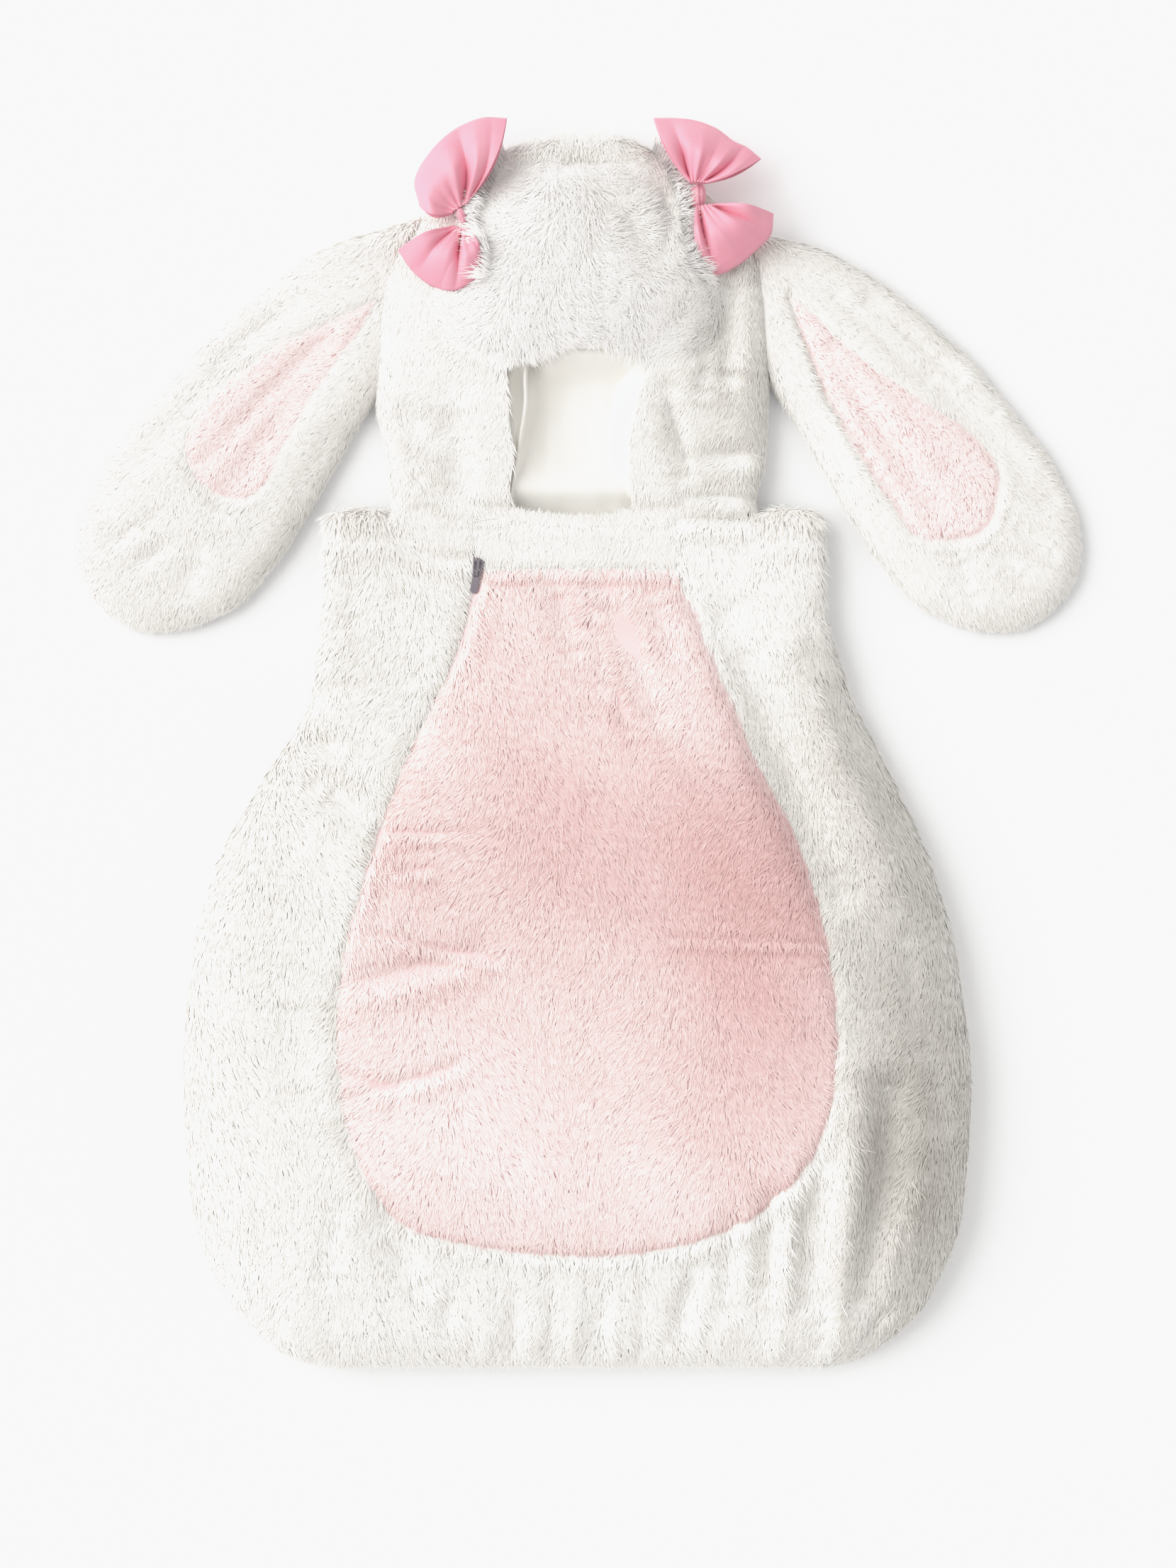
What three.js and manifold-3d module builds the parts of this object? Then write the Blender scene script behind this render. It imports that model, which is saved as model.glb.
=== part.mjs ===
// A child's bunny costume, laid out flat on its back: a sleeveless plush tunic with a pink belly and a gathered hem,
// a hood with two long ears, and a satin bow at the root of each ear.
// Millimetres. X runs across the garment, Y from the hem up to the hood, Z up from the surface it lies on.
// The cloth is faux fur, so a wall is the backing with its pile, and the pile's tips are the wall's outer face.
import * as THREE from "three";
import { mergeVertices } from "three/addons/utils/BufferGeometryUtils.js";
import Module from "manifold-3d";

const wasm = await Module();
wasm.setup();

// Driving sizes.
const SEAM_GAP = 0.3;
const PLUSH = 8; // wall of the tunic and hood: backing and pile
const EAR_PLUSH = 7;
const LINING = 1.6;
const SATIN = 1.5;
const HEM_Y = -394.5;
const HEM_HALF = 160; // half the straight, elasticated edge
const SHOULDER_Y = 150;
const MOUTH = 3.2; // half the gap between front and back where the garment is open
const GROOVE_HALF = 1.6; // the zip's groove in the pile
const ZIP_END_Y = -26;
const POCKET = { half: 5.2, up: 8.2, down: -18.6 }; // the pile stands back from the slider and its tab
const BACK_NECK_Y = 140;
const BAND = { low: 112.3, right: 62 };

// Half widths of the tunic, from the hem up to the shoulders. It steps in to the neck, where it is cut later.
const TUNIC = [
  { y: HEM_Y, left: HEM_HALF, right: HEM_HALF },
  { y: -391, left: 176, right: 175 },
  { y: -384, left: 192, right: 190 },
  { y: -370, left: 209, right: 208 },
  { y: -352, left: 224, right: 223 },
  { y: -293, left: 245, right: 245 },
  { y: -217, left: 251, right: 250 },
  { y: -140, left: 245, right: 241 },
  { y: -81, left: 230, right: 225 },
  { y: -18, left: 197, right: 197 },
  { y: 29, left: 170, right: 174 },
  { y: 85, left: 162, right: 158 },
  { y: 138, left: 161, right: 156 },
  { y: 146, left: 159, right: 154 },
  { y: SHOULDER_Y - 0.1, left: 151, right: 146 },
  { y: SHOULDER_Y + 0.1, left: 121, right: 121 },
  { y: 190, left: 121, right: 121 },
];

// Edges of the pink belly about the middle of the garment.
const BELLY_TOP = { y: 112, left: 64, right: 61 };
const BELLY = [
  { y: 60, left: 76, right: 83 },
  { y: 0, left: 102, right: 108 },
  { y: -60, left: 126, right: 138 },
  { y: -115, left: 143, right: 154 },
  { y: -170, left: 148, right: 161 },
  { y: -230, left: 143, right: 155 },
  { y: -275, left: 126, right: 130 },
  { y: -305, left: 92, right: 84 },
];
const BELLY_LOW = { x: 5, y: -318 };

// Half widths of the hood. It runs on below the neckline, where it is cut later.
const HOOD = [
  { y: 80, left: 106, right: 101 },
  { y: 150, left: 118, right: 112 },
  { y: 180, left: 121, right: 119 },
  { y: 220, left: 128, right: 121 },
  { y: 265, left: 128, right: 121 },
  { y: 300, left: 121, right: 117 },
  { y: 330, left: 101, right: 101 },
  { y: 355, left: 79, right: 76 },
  { y: 372, left: 56, right: 54 },
  { y: 381, left: 36, right: 40 },
  { y: 385.5, left: 14, right: 26 },
];

// The neckline, left to right. It dips beside the zip and runs level over the neck band.
const NECKLINE = [
  { x: -126, y: 150 }, { x: -112, y: 130 }, { x: -92, y: 120 }, { x: -67, y: 118 },
  { x: -64.5, y: 141 }, { x: 62, y: 141 }, { x: 76, y: 144 }, { x: 98, y: 142 }, { x: 126, y: 149.8 },
];

// Edges of the face opening about the middle.
const FACE = [
  { y: 110, left: 45, right: 37 },
  { y: 150, left: 44.6, right: 36.5 },
  { y: 175, left: 42, right: 33 },
  { y: 202, left: 42.5, right: 35 },
  { y: 228, left: 45, right: 41 },
  { y: 246, left: 38, right: 44 },
];
const FACE_TOP = { x: 6, y: 256 };

// The long-haired tuft over the forehead.
const TUFT = [
  { y: 247, left: 54, right: 74 },
  { y: 262, left: 84, right: 91 },
  { y: 290, left: 88, right: 91 },
  { y: 325, left: 66, right: 68 },
  { y: 352, left: 38, right: 44 },
];
const TUFT_TOP = { x: 4, y: 367 };

// An ear along its own axis, from root to tip, and its half widths outwards, away from the garment, and inwards.
const EAR_ROOT = { x: 105, y: 305 };
const EAR_AXIS = { x: 0.6247, y: -0.7809 };
const EAR = [
  { y: -17, inner: -12, outer: 15 },
  { y: -3, inner: 0, outer: 25 },
  { y: 14, inner: 12, outer: 38 },
  { y: 31, inner: 24, outer: 48 },
  { y: 64, inner: 33, outer: 60 },
  { y: 97, inner: 36, outer: 68 },
  { y: 147, inner: 44, outer: 75 },
  { y: 207, inner: 51, outer: 75 },
  { y: 237, inner: 49, outer: 70.5 },
  { y: 257, inner: 40, outer: 64.7 },
  { y: 272, inner: 30, outer: 56.5 },
  { y: 284, inner: 17, outer: 45 },
  { y: 291, inner: 4, outer: 30 },
  { y: 294, inner: -13, outer: 17 },
];

// The pink inside of each ear. The two lie differently, so each has its own edges across the ear's axis.
const INSERTS = {
  right: {
    root: { x: 11, y: 29 },
    rows: [
      { y: 60, inner: 1, outer: 14 },
      { y: 100, inner: 13, outer: 21 },
      { y: 140, inner: 21, outer: 35 },
      { y: 175, inner: 22.5, outer: 45 },
      { y: 205, inner: 21, outer: 42 },
    ],
    end: { x: 12, y: 226 },
  },
  left: {
    root: { x: 2, y: 30 },
    rows: [
      { y: 62, inner: 2, outer: 17 },
      { y: 100, inner: 4, outer: 36 },
      { y: 140, inner: 9, outer: 46 },
      { y: 168, inner: 15, outer: 44 },
      { y: 184, inner: 8, outer: 34 },
    ],
    end: { x: 12, y: 191 },
  },
};

// How the cloth stands: the height of the side seam, the rounded edge above it, and the crown further in.
const TUNIC_FORM = [
  { y: HEM_Y, seam: 17, wide: 26, rise: 17, crown: 24 },
  { y: -260, seam: 18, wide: 40, rise: 24, crown: 30 },
  { y: -100, seam: 18, wide: 36, rise: 22, crown: 27 },
  { y: 20, seam: 15, wide: 24, rise: 14, crown: 16 },
  { y: 110, seam: 13, wide: 16, rise: 10, crown: 6 },
  { y: 190, seam: 13, wide: 14, rise: 9, crown: 4 },
];
const HOOD_FORM = [
  { y: 80, seam: 12, wide: 14, rise: 11, crown: 5 },
  { y: 180, seam: 12, wide: 16, rise: 11, crown: 6 },
  { y: 250, seam: 12, wide: 20, rise: 12, crown: 9 },
  { y: 386, seam: 12, wide: 20, rise: 11, crown: 8 },
];
const EAR_FORM = [
  { y: -20, seam: 9, wide: 14, rise: 8, crown: 3 },
  { y: 150, seam: 9, wide: 18, rise: 8.5, crown: 5 },
  { y: 294, seam: 9, wide: 18, rise: 8.5, crown: 4 },
];
const CROWN_REACH = { tunic: 130, hood: 70, ear: 46 };
const UNDER_ROUND = 12; // the rounding of the edge below the side seam
const TUFT_RISE = 8;

// The largest folds. Each is a soft ridge, or a trough where high is negative, that dies away at its ends.
const TUNIC_FOLDS = [
  { name: "trough beside the belly", x0: 93, y0: 80, x1: 160, y1: -92, wide: 15, high: -8 },
  { name: "ridge beside that trough", x0: 134, y0: 60, x1: 198, y1: -80, wide: 18, high: 5 },
  { name: "belly crease right of the neck", x0: 20, y0: 100, x1: 52, y1: 20, wide: 10, high: -3 },
  { name: "belly crease in the middle", x0: -14, y0: 104, x1: -2, y1: 62, wide: 9, high: -2.5 },
  { name: "underarm fold", x0: -182, y0: 8, x1: -142, y1: -6, wide: 10, high: -5 },
  { name: "fold below the underarm", x0: -165, y0: -24, x1: -128, y1: -52, wide: 10, high: -5 },
  { name: "belly fold on the zip side", x0: -146, y0: -152, x1: -62, y1: -128, wide: 10, high: -4 },
  { name: "big ridge over the hem", x0: 168, y0: -362, x1: 175, y1: -205, wide: 14, high: 8 },
  { name: "deep trough beside it", x0: 178, y0: -352, x1: 198, y1: -215, wide: 11, high: -9 },
  { name: "outer ridge", x0: 190, y0: -362, x1: 219, y1: -255, wide: 12, high: 5 },
  { name: "trough left of the big ridge", x0: 146, y0: -345, x1: 150, y1: -262, wide: 9, high: -5 },
  { name: "small ridge between the creases", x0: 130, y0: -345, x1: 129, y1: -285, wide: 7, high: 3 },
  { name: "trough at the belly's corner", x0: 118, y0: -336, x1: 120, y1: -282, wide: 9, high: -6 },
  { name: "hem crease", x0: 60, y0: -374, x1: 74, y1: -326, wide: 8, high: -4.5 },
  { name: "hem crease near the corner", x0: 93, y0: -350, x1: 94, y1: -296, wide: 8, high: -3.5 },
  { name: "trough below the belly", x0: -120, y0: -300, x1: -100, y1: -334, wide: 11, high: -5 },
];
const HOOD_FOLDS = [
  { name: "deep fold under the ear root", x0: 97, y0: 302, x1: 95, y1: 235, wide: 9, high: -9 },
  { name: "cross fold low on the side", x0: 74, y0: 181, x1: 118, y1: 184, wide: 8, high: -5 },
  { name: "fold of the right flap", x0: 58, y0: 224, x1: 68, y1: 172, wide: 8, high: -4 },
  { name: "hollow of the left flap", x0: -78, y0: 222, x1: -72, y1: 150, wide: 12, high: -5 },
  { name: "fold across the left flap", x0: -122, y0: 214, x1: -92, y1: 196, wide: 9, high: -4 },
];
const EAR_FOLDS = [
  { name: "trough along the outer edge", x0: 47, y0: 70, x1: 58, y1: 235, wide: 10, high: -3 },
  { name: "crease down the pink", x0: 6, y0: 78, x1: -2, y1: 196, wide: 10, high: -3 },
  { name: "pucker below the pink", x0: -8, y0: 226, x1: -18, y1: 252, wide: 8, high: -2 },
];

// Gathers above the elasticated hem. They fan out and fade over their reach.
const GATHER = { spacing: 32, high: 3.4, reach: 105, fan: 0.0011, sway: 9, swayEvery: 43, uneven: 0.4, unevenEvery: 29 };

// Bows. Each wing is a flattened loop of satin that fans from the knot to its fold, given anticlockwise.
const BOWS = [
  {
    side: "left",
    knot: { x: -72.4, y: 331.6, turn: 30, along: 4.7, across: 5.6 },
    wings: [
      { name: "upper", bulge: 5, neck: [{ x: -69, y: 339.5 }, { x: -79, y: 333.5 }],
        fold: [{ x: -44.5, y: 393.6 }, { x: -62, y: 393.5 }, { x: -80.5, y: 384.5 }, { x: -94, y: 371 },
          { x: -102.5, y: 355 }, { x: -99.5, y: 338.5 }] },
      { name: "lower", bulge: 2, neck: [{ x: -78, y: 325 }, { x: -68.5, y: 323 }],
        fold: [{ x: -113, y: 311 }, { x: -104, y: 298 }, { x: -90, y: 287.5 }, { x: -76, y: 285.5 },
          { x: -61.5, y: 295 }, { x: -61, y: 305 }] },
    ],
  },
  {
    side: "right",
    knot: { x: 75.4, y: 345, turn: 0, along: 7, across: 4.8 },
    wings: [
      { name: "upper", bulge: 3, neck: [{ x: 80.5, y: 352.2 }, { x: 70.5, y: 352.6 }],
        fold: [{ x: 115.5, y: 368 }, { x: 107, y: 375 }, { x: 98, y: 379.5 }, { x: 86, y: 388 },
          { x: 70, y: 393 }, { x: 47.7, y: 393.8 }] },
      { name: "lower", bulge: 2, neck: [{ x: 71, y: 337.6 }, { x: 80.5, y: 337.6 }],
        fold: [{ x: 76, y: 306 }, { x: 86, y: 295.5 }, { x: 101, y: 301.5 }, { x: 114.5, y: 313 },
          { x: 121.5, y: 321 }, { x: 123.3, y: 333.5 }] },
    ],
  },
];
const BOW_LOW = { neck: 33.5, fold: 31, clear: 0.9 }; // a loop's lower side, and how far it clears the hood
const LOOP = { neck: 5.5, full: 13, fold: 4 }; // a loop's height at the knot, in the middle and at its fold
const PLEATS = { count: 3, high: 1.7 };
const KNOT_HALF_HIGH = 7;

// The slider and its pull tab, in the slider's own axes: Y runs up the zip, and Z is 0 at the pile's tips.
const SLIDER_AT = { x: -63.3, y: 110.5, turn: -9 };
const SLIDER = { topHalf: 3.6, waistHalf: 2.4, notch: 3.4, up: 6.5, down: -6.5, low: -6.2, high: -1.6 };
const BRIDGE = { half: 0.7, from: -5.2, to: 6.3, bar: 1, post: 1, gap: 1.9 };
const TAB = { y: 4.3, reach: 20.5, thick: 1.2, bar: 0.6, headHalf: 3.6, waistHalf: 2.3, tipHalf: 2.5, window: 10.2, arm: 1.1 };
const TAPE = { half: 9, thick: 0.9, coilHalf: 1.1, coilHigh: 5.6, drop: 3, top: 138 };

const COLOURS = {
  plush: { color: "#f4f1ec", roughness: 0.95, metalness: 0 },
  pinkPlush: { color: "#f2d3d2", roughness: 0.95, metalness: 0 },
  lining: { color: "#ece7dd", roughness: 0.85, metalness: 0 },
  satin: { color: "#f2a8c2", roughness: 0.45, metalness: 0 },
  tape: { color: "#e9e6e1", roughness: 0.6, metalness: 0 },
  metal: { color: "#4a4447", roughness: 0.4, metalness: 0.9 },
};

const { lerp, degToRad } = THREE.MathUtils;
const clamp = (value, low = 0, high = 1) => Math.min(high, Math.max(low, value));
const smooth = (t) => clamp(t) ** 2 * (3 - 2 * clamp(t));
const quarter = (t) => Math.sqrt(1 - (1 - clamp(t)) ** 2); // steep at 0, level at 1
const swell = (t) => 1 - (1 - clamp(t)) ** 2;
const vec = ({ x, y }) => new THREE.Vector2(x, y);
const curve = (points, steps) => new THREE.SplineCurve(points).getPoints(steps);

// The value of a table's column at y, on a smooth curve through the rows that never overshoots them.
function columnAt(table, key, y) {
  const last = table.length - 1;
  if (y <= table[0].y) return table[0][key];
  if (y >= table[last].y) return table[last][key];
  const i = table.findIndex((row) => row.y > y) - 1;
  const slope = (j) => (table[j + 1][key] - table[j][key]) / (table[j + 1].y - table[j].y);
  const tangent = (j) => {
    if (j === 0) return slope(0);
    if (j === last) return slope(last - 1);
    const [before, after] = [slope(j - 1), slope(j)];
    return before * after <= 0 ? 0 : (2 * before * after) / (before + after);
  };
  const span = table[i + 1].y - table[i].y;
  const t = (y - table[i].y) / span;
  const near = (1 + 2 * t) * (1 - t) ** 2 * table[i][key] + t * (1 - t) ** 2 * span * tangent(i);
  const far = t ** 2 * (3 - 2 * t) * table[i + 1][key] + t ** 2 * (t - 1) * span * tangent(i + 1);
  return near + far;
}

// Stations from one end to the other, close together over the rounding at both ends.
function stations(from, to, round, roundSteps, step) {
  const near = Array.from({ length: roundSteps + 1 }, (_, i) => round * (1 - Math.cos((i / roundSteps) * (Math.PI / 2))));
  const count = Math.max(1, Math.round((to - from - 2 * round) / step));
  const between = Array.from({ length: count - 1 }, (_, i) => lerp(from + round, to - round, (i + 1) / count));
  return [...near.map((d) => from + d), ...between, ...[...near].reverse().map((d) => to - d)];
}

// A spread shape: a table of edges along an axis, and how it is placed in plan.
class Spread {
  constructor(table, low, high, place = (x, y) => new THREE.Vector2(x, y)) {
    Object.assign(this, { table, low, high, place });
    const ys = [...table.map((row) => row.y), ...stations(table[0].y, table[table.length - 1].y, 12, 4, 11)];
    ys.sort((a, b) => a - b);
    this.rim = [...ys.map((y) => [this.edge(high, y), y]), ...[...ys].reverse().map((y) => [-this.edge(low, y), y])];
  }

  edge(key, y) {
    return columnAt(this.table, key, y);
  }

  // The edge at y when the shape is drawn in all round by a distance.
  drawn(key, y, inset) {
    const steps = [-1, -0.92, -0.7, -0.35, 0, 0.35, 0.7, 0.92, 1];
    return Math.min(...steps.map((d) => this.edge(key, y + d * inset) - inset * Math.sqrt(1 - d * d)));
  }

  // Distance in from the edge.
  into(x, y) {
    let least = Infinity;
    for (let i = 0; i < this.rim.length; i++) {
      const [ax, ay] = this.rim[i];
      const [bx, by] = this.rim[(i + 1) % this.rim.length];
      const [dx, dy] = [bx - ax, by - ay];
      const t = clamp(((x - ax) * dx + (y - ay) * dy) / (dx * dx + dy * dy || 1));
      least = Math.min(least, Math.hypot(x - ax - t * dx, y - ay - t * dy));
    }
    return least;
  }

  holds(x, y) {
    const [low, high] = [this.table[0].y, this.table[this.table.length - 1].y];
    return y > low && y < high && x > -this.edge(this.low, y) && x < this.edge(this.high, y);
  }

  outline() {
    return this.rim.map(([x, y]) => this.place(x, y));
  }

  // Rows of points across the shape, at the given stations and shares of its width.
  rows(ys, shares, inset = 0) {
    return ys.map((y) => {
      const [low, high] = [-this.drawn(this.low, y, inset), this.drawn(this.high, y, inset)];
      const [middle, half] = [(low + high) / 2, Math.max(0, (high - low) / 2)];
      return shares.map((share) => ({ x: middle + share * half, y }));
    });
  }

  // The closed solid over rows of points, between a lower and an upper height.
  lump(rows, lower, upper) {
    const lift = (height) => rows.map((row) => row.map(({ x, y }) => {
      const at = this.place(x, y);
      return new THREE.Vector3(at.x, at.y, height(x, y, this.into(x, y)));
    }));
    const [under, over] = [lift(lower), lift(upper)];
    const corners = [];
    const quad = (a, b, c, d) => corners.push(a, b, c, a, c, d);
    const [last, end] = [rows.length - 1, rows[0].length - 1];
    for (let j = 0; j < last; j++) {
      for (let i = 0; i < end; i++) {
        quad(over[j][i], over[j][i + 1], over[j + 1][i + 1], over[j + 1][i]);
        quad(under[j][i], under[j + 1][i], under[j + 1][i + 1], under[j][i + 1]);
      }
      quad(under[j][0], over[j][0], over[j + 1][0], under[j + 1][0]);
      quad(under[j][end], under[j + 1][end], over[j + 1][end], over[j][end]);
    }
    for (let i = 0; i < end; i++) {
      quad(under[0][i], under[0][i + 1], over[0][i + 1], over[0][i]);
      quad(under[last][i], over[last][i], over[last][i + 1], under[last][i + 1]);
    }
    return solidOf(closedGeometry(corners));
  }
}

// Merges shared corners and drops triangles that have no area. A mirrored shape is turned face out.
function closedGeometry(corners) {
  const merged = mergeVertices(new THREE.BufferGeometry().setFromPoints(corners), 1e-3);
  const at = (i) => new THREE.Vector3().fromBufferAttribute(merged.attributes.position, i);
  const kept = [];
  let volume = 0;
  for (let i = 0; i < merged.index.count; i += 3) {
    const [a, b, c] = merged.index.array.slice(i, i + 3);
    if (a === b || b === c || c === a) continue;
    kept.push([a, b, c]);
    volume += at(a).dot(at(b).cross(at(c)));
  }
  merged.setIndex(kept.flatMap(([a, b, c]) => (volume > 0 ? [a, b, c] : [a, c, b])));
  return merged;
}

function solidOf(geometry) {
  const bare = new THREE.BufferGeometry();
  bare.setAttribute("position", geometry.getAttribute("position"));
  if (geometry.index) bare.setIndex(geometry.index);
  const merged = mergeVertices(bare, 1e-4);
  const vertProperties = Float32Array.from(merged.attributes.position.array);
  return new wasm.Manifold(new wasm.Mesh({ numProp: 3, vertProperties, triVerts: Uint32Array.from(merged.index.array) }));
}

function geometryOf(solid) {
  const mesh = solid.getMesh();
  const geometry = new THREE.BufferGeometry();
  geometry.setAttribute("position", new THREE.BufferAttribute(new Float32Array(mesh.vertProperties), 3));
  geometry.setIndex(new THREE.BufferAttribute(new Uint32Array(mesh.triVerts), 1));
  const faceted = geometry.toNonIndexed();
  faceted.computeVertexNormals();
  return faceted;
}

// An upright prism over a plan outline, tall enough to cut through the whole garment.
function prism(outline, low = -20, high = 140) {
  const block = new THREE.ExtrudeGeometry(new THREE.Shape(outline), { depth: high - low, bevelEnabled: false, steps: 1 });
  return solidOf(block.translate(0, 0, low));
}

// A closed plan outline moved outwards by a distance, or inwards by a negative one.
function offset(outline, by) {
  const turn = THREE.ShapeUtils.area(outline) > 0 ? 1 : -1;
  return outline.map((p, i) => {
    const before = outline[(i + outline.length - 1) % outline.length];
    const after = outline[(i + 1) % outline.length];
    const along = after.clone().sub(before).normalize().multiplyScalar(turn);
    return new THREE.Vector2(p.x + along.y * by, p.y - along.x * by);
  });
}

// The outline of the plan within a distance of a line.
function strip(line, half) {
  const edge = (by) => line.map((p, i) => {
    const [before, after] = [line[Math.max(0, i - 1)], line[Math.min(line.length - 1, i + 1)]];
    const along = after.clone().sub(before).normalize();
    return new THREE.Vector2(p.x + along.y * by, p.y - along.x * by);
  });
  return [...edge(half), ...edge(-half).reverse()];
}

// Height of the folds at a point.
function foldsAt(folds, x, y) {
  return folds.reduce((sum, { x0, y0, x1, y1, wide, high }) => {
    const [dx, dy] = [x1 - x0, y1 - y0];
    const t = ((x - x0) * dx + (y - y0) * dy) / (dx * dx + dy * dy);
    const away = Math.hypot(x - x0 - clamp(t) * dx, y - y0 - clamp(t) * dy) / wide;
    return sum + high * Math.exp(-away * away) * Math.sqrt(Math.sin(Math.PI * clamp(t, 0.1, 0.9)));
  }, 0);
}

// Height of the hem's gathers at a point.
function gathersAt(x, y) {
  const above = y - HEM_Y;
  const straight = x / (1 + GATHER.fan * above);
  const swayed = straight + GATHER.sway * Math.sin(straight / GATHER.swayEvery);
  const share = 1 - GATHER.uneven + GATHER.uneven * Math.sin(straight / GATHER.unevenEvery + 2);
  return GATHER.high * share * clamp(1 - above / GATHER.reach) ** 1.5 * Math.cos((2 * Math.PI * swayed) / GATHER.spacing);
}

// Height of a wall's face: the seam, the rounded edge and the crown. An inner face is drawn in by the wall.
function standAt(form, reach, y, into, inset) {
  const at = (key) => columnAt(form, key, y);
  const edge = (at("rise") - inset) * quarter((into - inset) / (at("wide") - inset));
  return at("seam") + edge + at("crown") * swell((into - inset) / reach);
}

// Half the gap between front and back. They are sewn at the sides and shoulders, and open at the armholes and hem.
function mouthAt(x, y) {
  const armhole = smooth((y - 32) / 16) * smooth((136 - y) / 14) * smooth((Math.abs(x) - 100) / 30);
  const hem = smooth((HEM_Y + 60 - y) / 40) * smooth((HEM_HALF + 8 - Math.abs(x)) / 20);
  return SEAM_GAP / 2 + MOUTH * Math.max(armhole, hem);
}

function tunicTop(x, y, into) {
  const creases = foldsAt(TUNIC_FOLDS, x, y) * smooth(into / 24) + gathersAt(x, y) * smooth((into - 2) / 16);
  return standAt(TUNIC_FORM, CROWN_REACH.tunic, y, into, 0) + mouthAt(x, y) * Math.exp(-into / 20) + creases;
}

function tunicInner(x, y, into) {
  return standAt(TUNIC_FORM, CROWN_REACH.tunic, y, into, PLUSH) + Math.min(0, foldsAt(TUNIC_FOLDS, x, y)) * smooth(into / 24);
}

const inTuft = (x, y) => smooth(1 - Math.hypot(x / 96, (y - 302) / 70) ** 2);

function hoodTop(x, y, into) {
  const creases = foldsAt(HOOD_FOLDS, x, y) * smooth(into / 18) + TUFT_RISE * inTuft(x, y);
  return standAt(HOOD_FORM, CROWN_REACH.hood, y, into, 0) + SEAM_GAP / 2 + creases;
}

function hoodInner(x, y, into) {
  const creases = Math.min(0, foldsAt(HOOD_FOLDS, x, y)) * 0.6 * smooth(into / 18) + TUFT_RISE * 0.5 * inTuft(x, y);
  return standAt(HOOD_FORM, CROWN_REACH.hood, y, into, PLUSH) + creases;
}

const earTop = (x, y, into) => standAt(EAR_FORM, CROWN_REACH.ear, y, into, 0) + SEAM_GAP / 2
  + foldsAt(EAR_FOLDS, x, y) * smooth(into / 14);
const earInner = (x, y, into) => standAt(EAR_FORM, CROWN_REACH.ear, y, into, EAR_PLUSH)
  + foldsAt(EAR_FOLDS, x, y) * smooth(into / 14);

// A front wall over a hollow: the outside down to its seat, less the inside.
function frontWall(spread, grid, inner, { seat, top, lining, thick }) {
  const outside = spread.lump(spread.rows(grid.ys, grid.shares), seat, top);
  return outside.subtract(spread.lump(spread.rows(inner.ys, inner.shares, thick), () => -10, lining));
}

// A back slab on the surface, rounded up round its edge to the seam, and hollowed where thick is given.
function backWall(spread, grid, rimAt, inner, thick) {
  const under = (x, y, into) => rimAt(x, y) * (1 - quarter(into / UNDER_ROUND));
  const slab = spread.lump(spread.rows(grid.ys, grid.shares), under, rimAt);
  return inner ? slab.subtract(spread.lump(spread.rows(inner.ys, inner.shares, thick), () => thick, () => 60)) : slab;
}

const model = new THREE.Group();

function add(name, shape, colour, parent = model) {
  const geometry = shape.isBufferGeometry ? shape : geometryOf(largest(shape));
  const mesh = new THREE.Mesh(geometry, new THREE.MeshStandardMaterial(COLOURS[colour]));
  mesh.name = name;
  parent.add(mesh);
}

// Keeps the part of a solid inside an outline, or outside it, half a seam gap clear of the line.
const within = (solid, outline) => solid.intersect(prism(offset(outline, -SEAM_GAP / 2)));
const without = (solid, outline) => solid.subtract(prism(offset(outline, SEAM_GAP / 2)));

// The largest of a solid's separate bodies, which leaves out the trimmings of a cut.
function largest(solid) {
  return solid.decompose().reduce((a, b) => (b.volume() > a.volume() ? b : a));
}

// Outlines in plan.
const edgeOf = (table, key, sign) => table.map((row) => new THREE.Vector2(sign * row[key], row.y));
const bellyOutline = curve([
  new THREE.Vector2(-BELLY_TOP.left, BELLY_TOP.y), ...edgeOf(BELLY, "left", -1), vec(BELLY_LOW),
  ...edgeOf(BELLY, "right", 1).reverse(), new THREE.Vector2(BELLY_TOP.right, BELLY_TOP.y),
], 56);
const neckOutline = [...NECKLINE.map(vec), ...[[150, 150], [150, 460], [-150, 460], [-150, 150]].map(([x, y]) => new THREE.Vector2(x, y))];
const faceOutline = curve([...edgeOf(FACE, "left", -1), vec(FACE_TOP), ...edgeOf(FACE, "right", 1).reverse()], 36);
const tuftOutline = curve([...edgeOf(TUFT, "left", -1), vec(TUFT_TOP), ...edgeOf(TUFT, "right", 1).reverse()], 40);

// The zip's line: straight beside the neck band, then just outside the belly's edge.
const zipSide = offset(bellyOutline, GROOVE_HALF + SEAM_GAP / 2).slice(1).filter((p) => p.x < 0 && p.y > ZIP_END_Y);
const zipLine = [143, 128, 112].map((y) => new THREE.Vector2(-BELLY_TOP.left - GROOVE_HALF - SEAM_GAP / 2, y)).concat(zipSide);
const bandOutline = [[zipLine[0].x, BAND.low], [BAND.right, BAND.low], [BAND.right, 155], [zipLine[0].x, 155]]
  .map(([x, y]) => new THREE.Vector2(x, y));

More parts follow.
